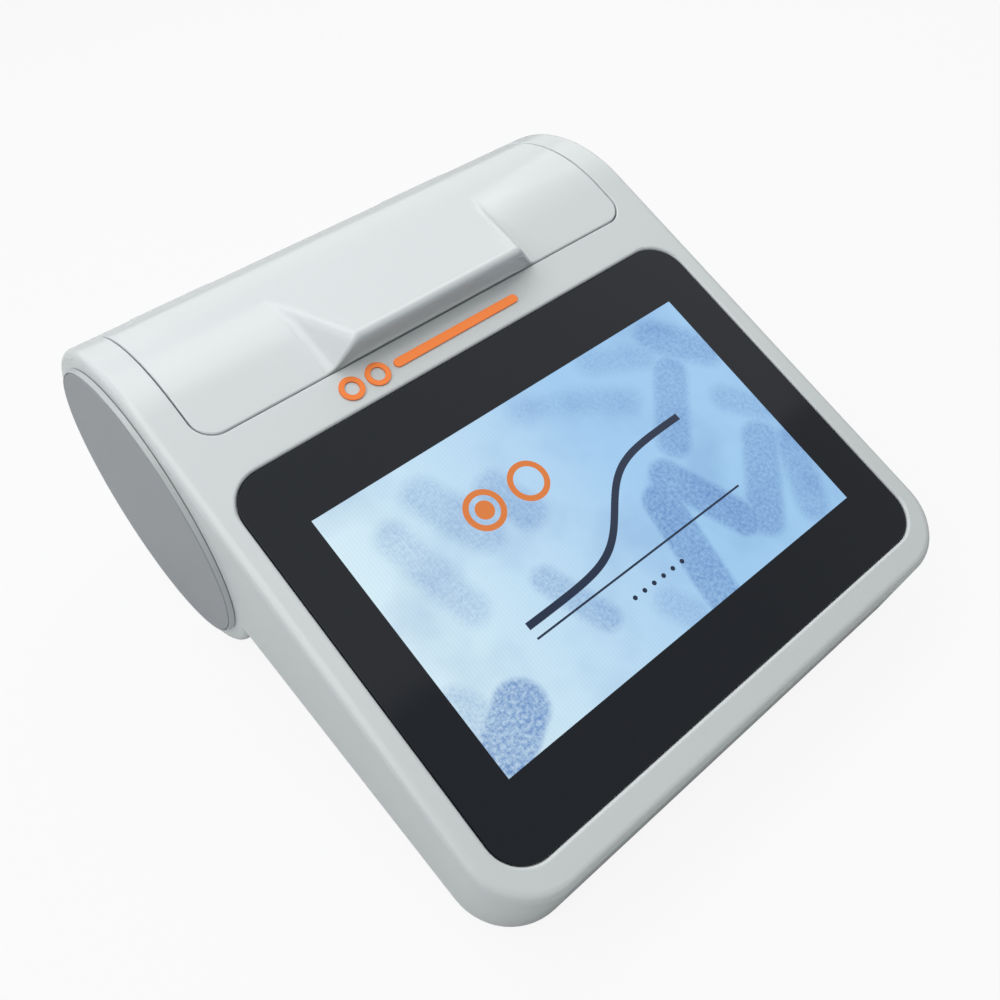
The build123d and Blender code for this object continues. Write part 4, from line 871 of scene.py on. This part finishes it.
@dataclass(frozen=True)
class Studio:
    """Pale floor, plain background and soft lamps.

    The world lights the object with ambient, and the camera and reflections see it at full_white.
    The floor is paper that mostly glows for the camera and is lit like any surface for the rest.
    """

    ambient: float = 0.20
    full_white: float = 1.0
    background: str = "#FFFFFF"
    floor_half: float = 6.0
    floor_glow: float = 0.9
    paper: str = "#D8DADB"
    lamps: tuple[Softbox, ...] = (
        Softbox("softbox_ceiling", (0.7, 0.23, 1.7), (2.0, 1.74), 6.6, aim=(0.7, 0.23, 0.0)),
        Softbox("softbox_near_left", (-0.45, 0.02, 0.66), (0.6, 0.6), 2.2),
        Softbox("softbox_near_top", (0.05, 0.32, 0.66), (0.8, 0.4), 1.35),
        Softbox("softbox_left", (-1.6, 0.0, 0.6), (0.8, 0.6), 2.4),
        Softbox("softbox_right", (1.6, 0.9, 1.1), (1.2, 1.2), 3.9),
        Softbox("softbox_front", (0.4, -1.8, 0.8), (1.4, 0.8), 1.2),
        Softbox("softbox_back", (-0.2, 1.8, 1.2), (1.4, 1.0), 1.5),
    )

    def world(self) -> None:
        """Light the scene evenly from all round, and show camera and reflections a plain white."""
        world = bpy.data.worlds.new("studio_world")
        bpy.context.scene.world = world
        graph = Graph(world)
        path = graph.add("LightPath").node
        seen = path.outputs["Is Camera Ray"]
        for ray in ("Is Glossy Ray", "Is Transmission Ray"):
            seen = graph.add("Math", seen, path.outputs[ray], operation="MAXIMUM")
        strength = graph.add("MapRange", seen, 0.0, 1.0, self.ambient, self.full_white)
        graph.add("OutputWorld", graph.add("Background", linear(self.background), strength))

    def floor(self) -> None:
        """Lay a white floor that glows for the camera and still takes the object's shadow."""
        h = self.floor_half
        mesh = bpy.data.meshes.new("studio_floor")
        mesh.from_pydata([(-h, -h, 0), (h, -h, 0), (h, h, 0), (-h, h, 0)], [], [(0, 1, 2, 3)])
        thing = bpy.data.objects.new("studio_floor", mesh)
        bpy.context.scene.collection.objects.link(thing)
        graph = Graph(bpy.data.materials.new("studio_paper_white"))
        seen = graph.add("LightPath", out="Is Camera Ray")
        glow = graph.add("Emission", linear(self.background), self.full_white)
        paper = graph.add("BsdfDiffuse", linear(self.paper))
        share = graph.add("Math", seen, self.floor_glow, operation="MULTIPLY")
        mesh.materials.append(graph.surface(graph.add("MixShader", share, paper, glow)))

    def build(self) -> None:
        """Set up the world, the floor and the lamps."""
        bpy.context.scene.view_settings.view_transform = "Standard"
        self.world()
        self.floor()
        for lamp in self.lamps:
            lamp.build()


@dataclass(frozen=True)
class PhotoCamera:
    """Camera at the photograph's place, fitted to the corners and edges of the object."""

    place: Point = (-0.15914742, -0.20310084, 0.29399376)
    rows: tuple[Point, Point, Point] = (
        (0.74924847, 0.50031610, -0.43394762),
        (-0.65965170, 0.50533878, -0.55632037),
        (-0.05904547, 0.70307647, 0.70865867),
    )
    sensor: float = 36.0
    lens: float = 36.4777
    shift: Point2 = (0.00095, -0.00183)
    clip: Point2 = (0.01, 50.0)

    def build(self) -> None:
        """Make the scene's camera."""
        data = bpy.data.cameras.new("photo_camera")
        data.sensor_width = self.sensor
        data.lens = self.lens
        data.shift_x, data.shift_y = self.shift
        data.clip_start, data.clip_end = self.clip
        camera = bpy.data.objects.new("photo_camera", data)
        bpy.context.scene.collection.objects.link(camera)
        camera.matrix_world = Matrix.Translation(self.place) @ Matrix(self.rows).to_4x4()
        bpy.context.scene.camera = camera


def main() -> None:
    """Load the frame, dress and build each sub-assembly, and set up the studio."""
    logging.basicConfig(level=logging.INFO, format="%(name)s: %(message)s")
    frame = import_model()
    store = MaterialStore()
    PhotoCamera().build()
    for part in (Housing, EndCovers, Display, Lid, SampleChamber, Electronics):
        part(frame, store).build()
        LOG.info("built %s", part.__name__)
    Studio().build()


if __name__ == "__main__":
    main()
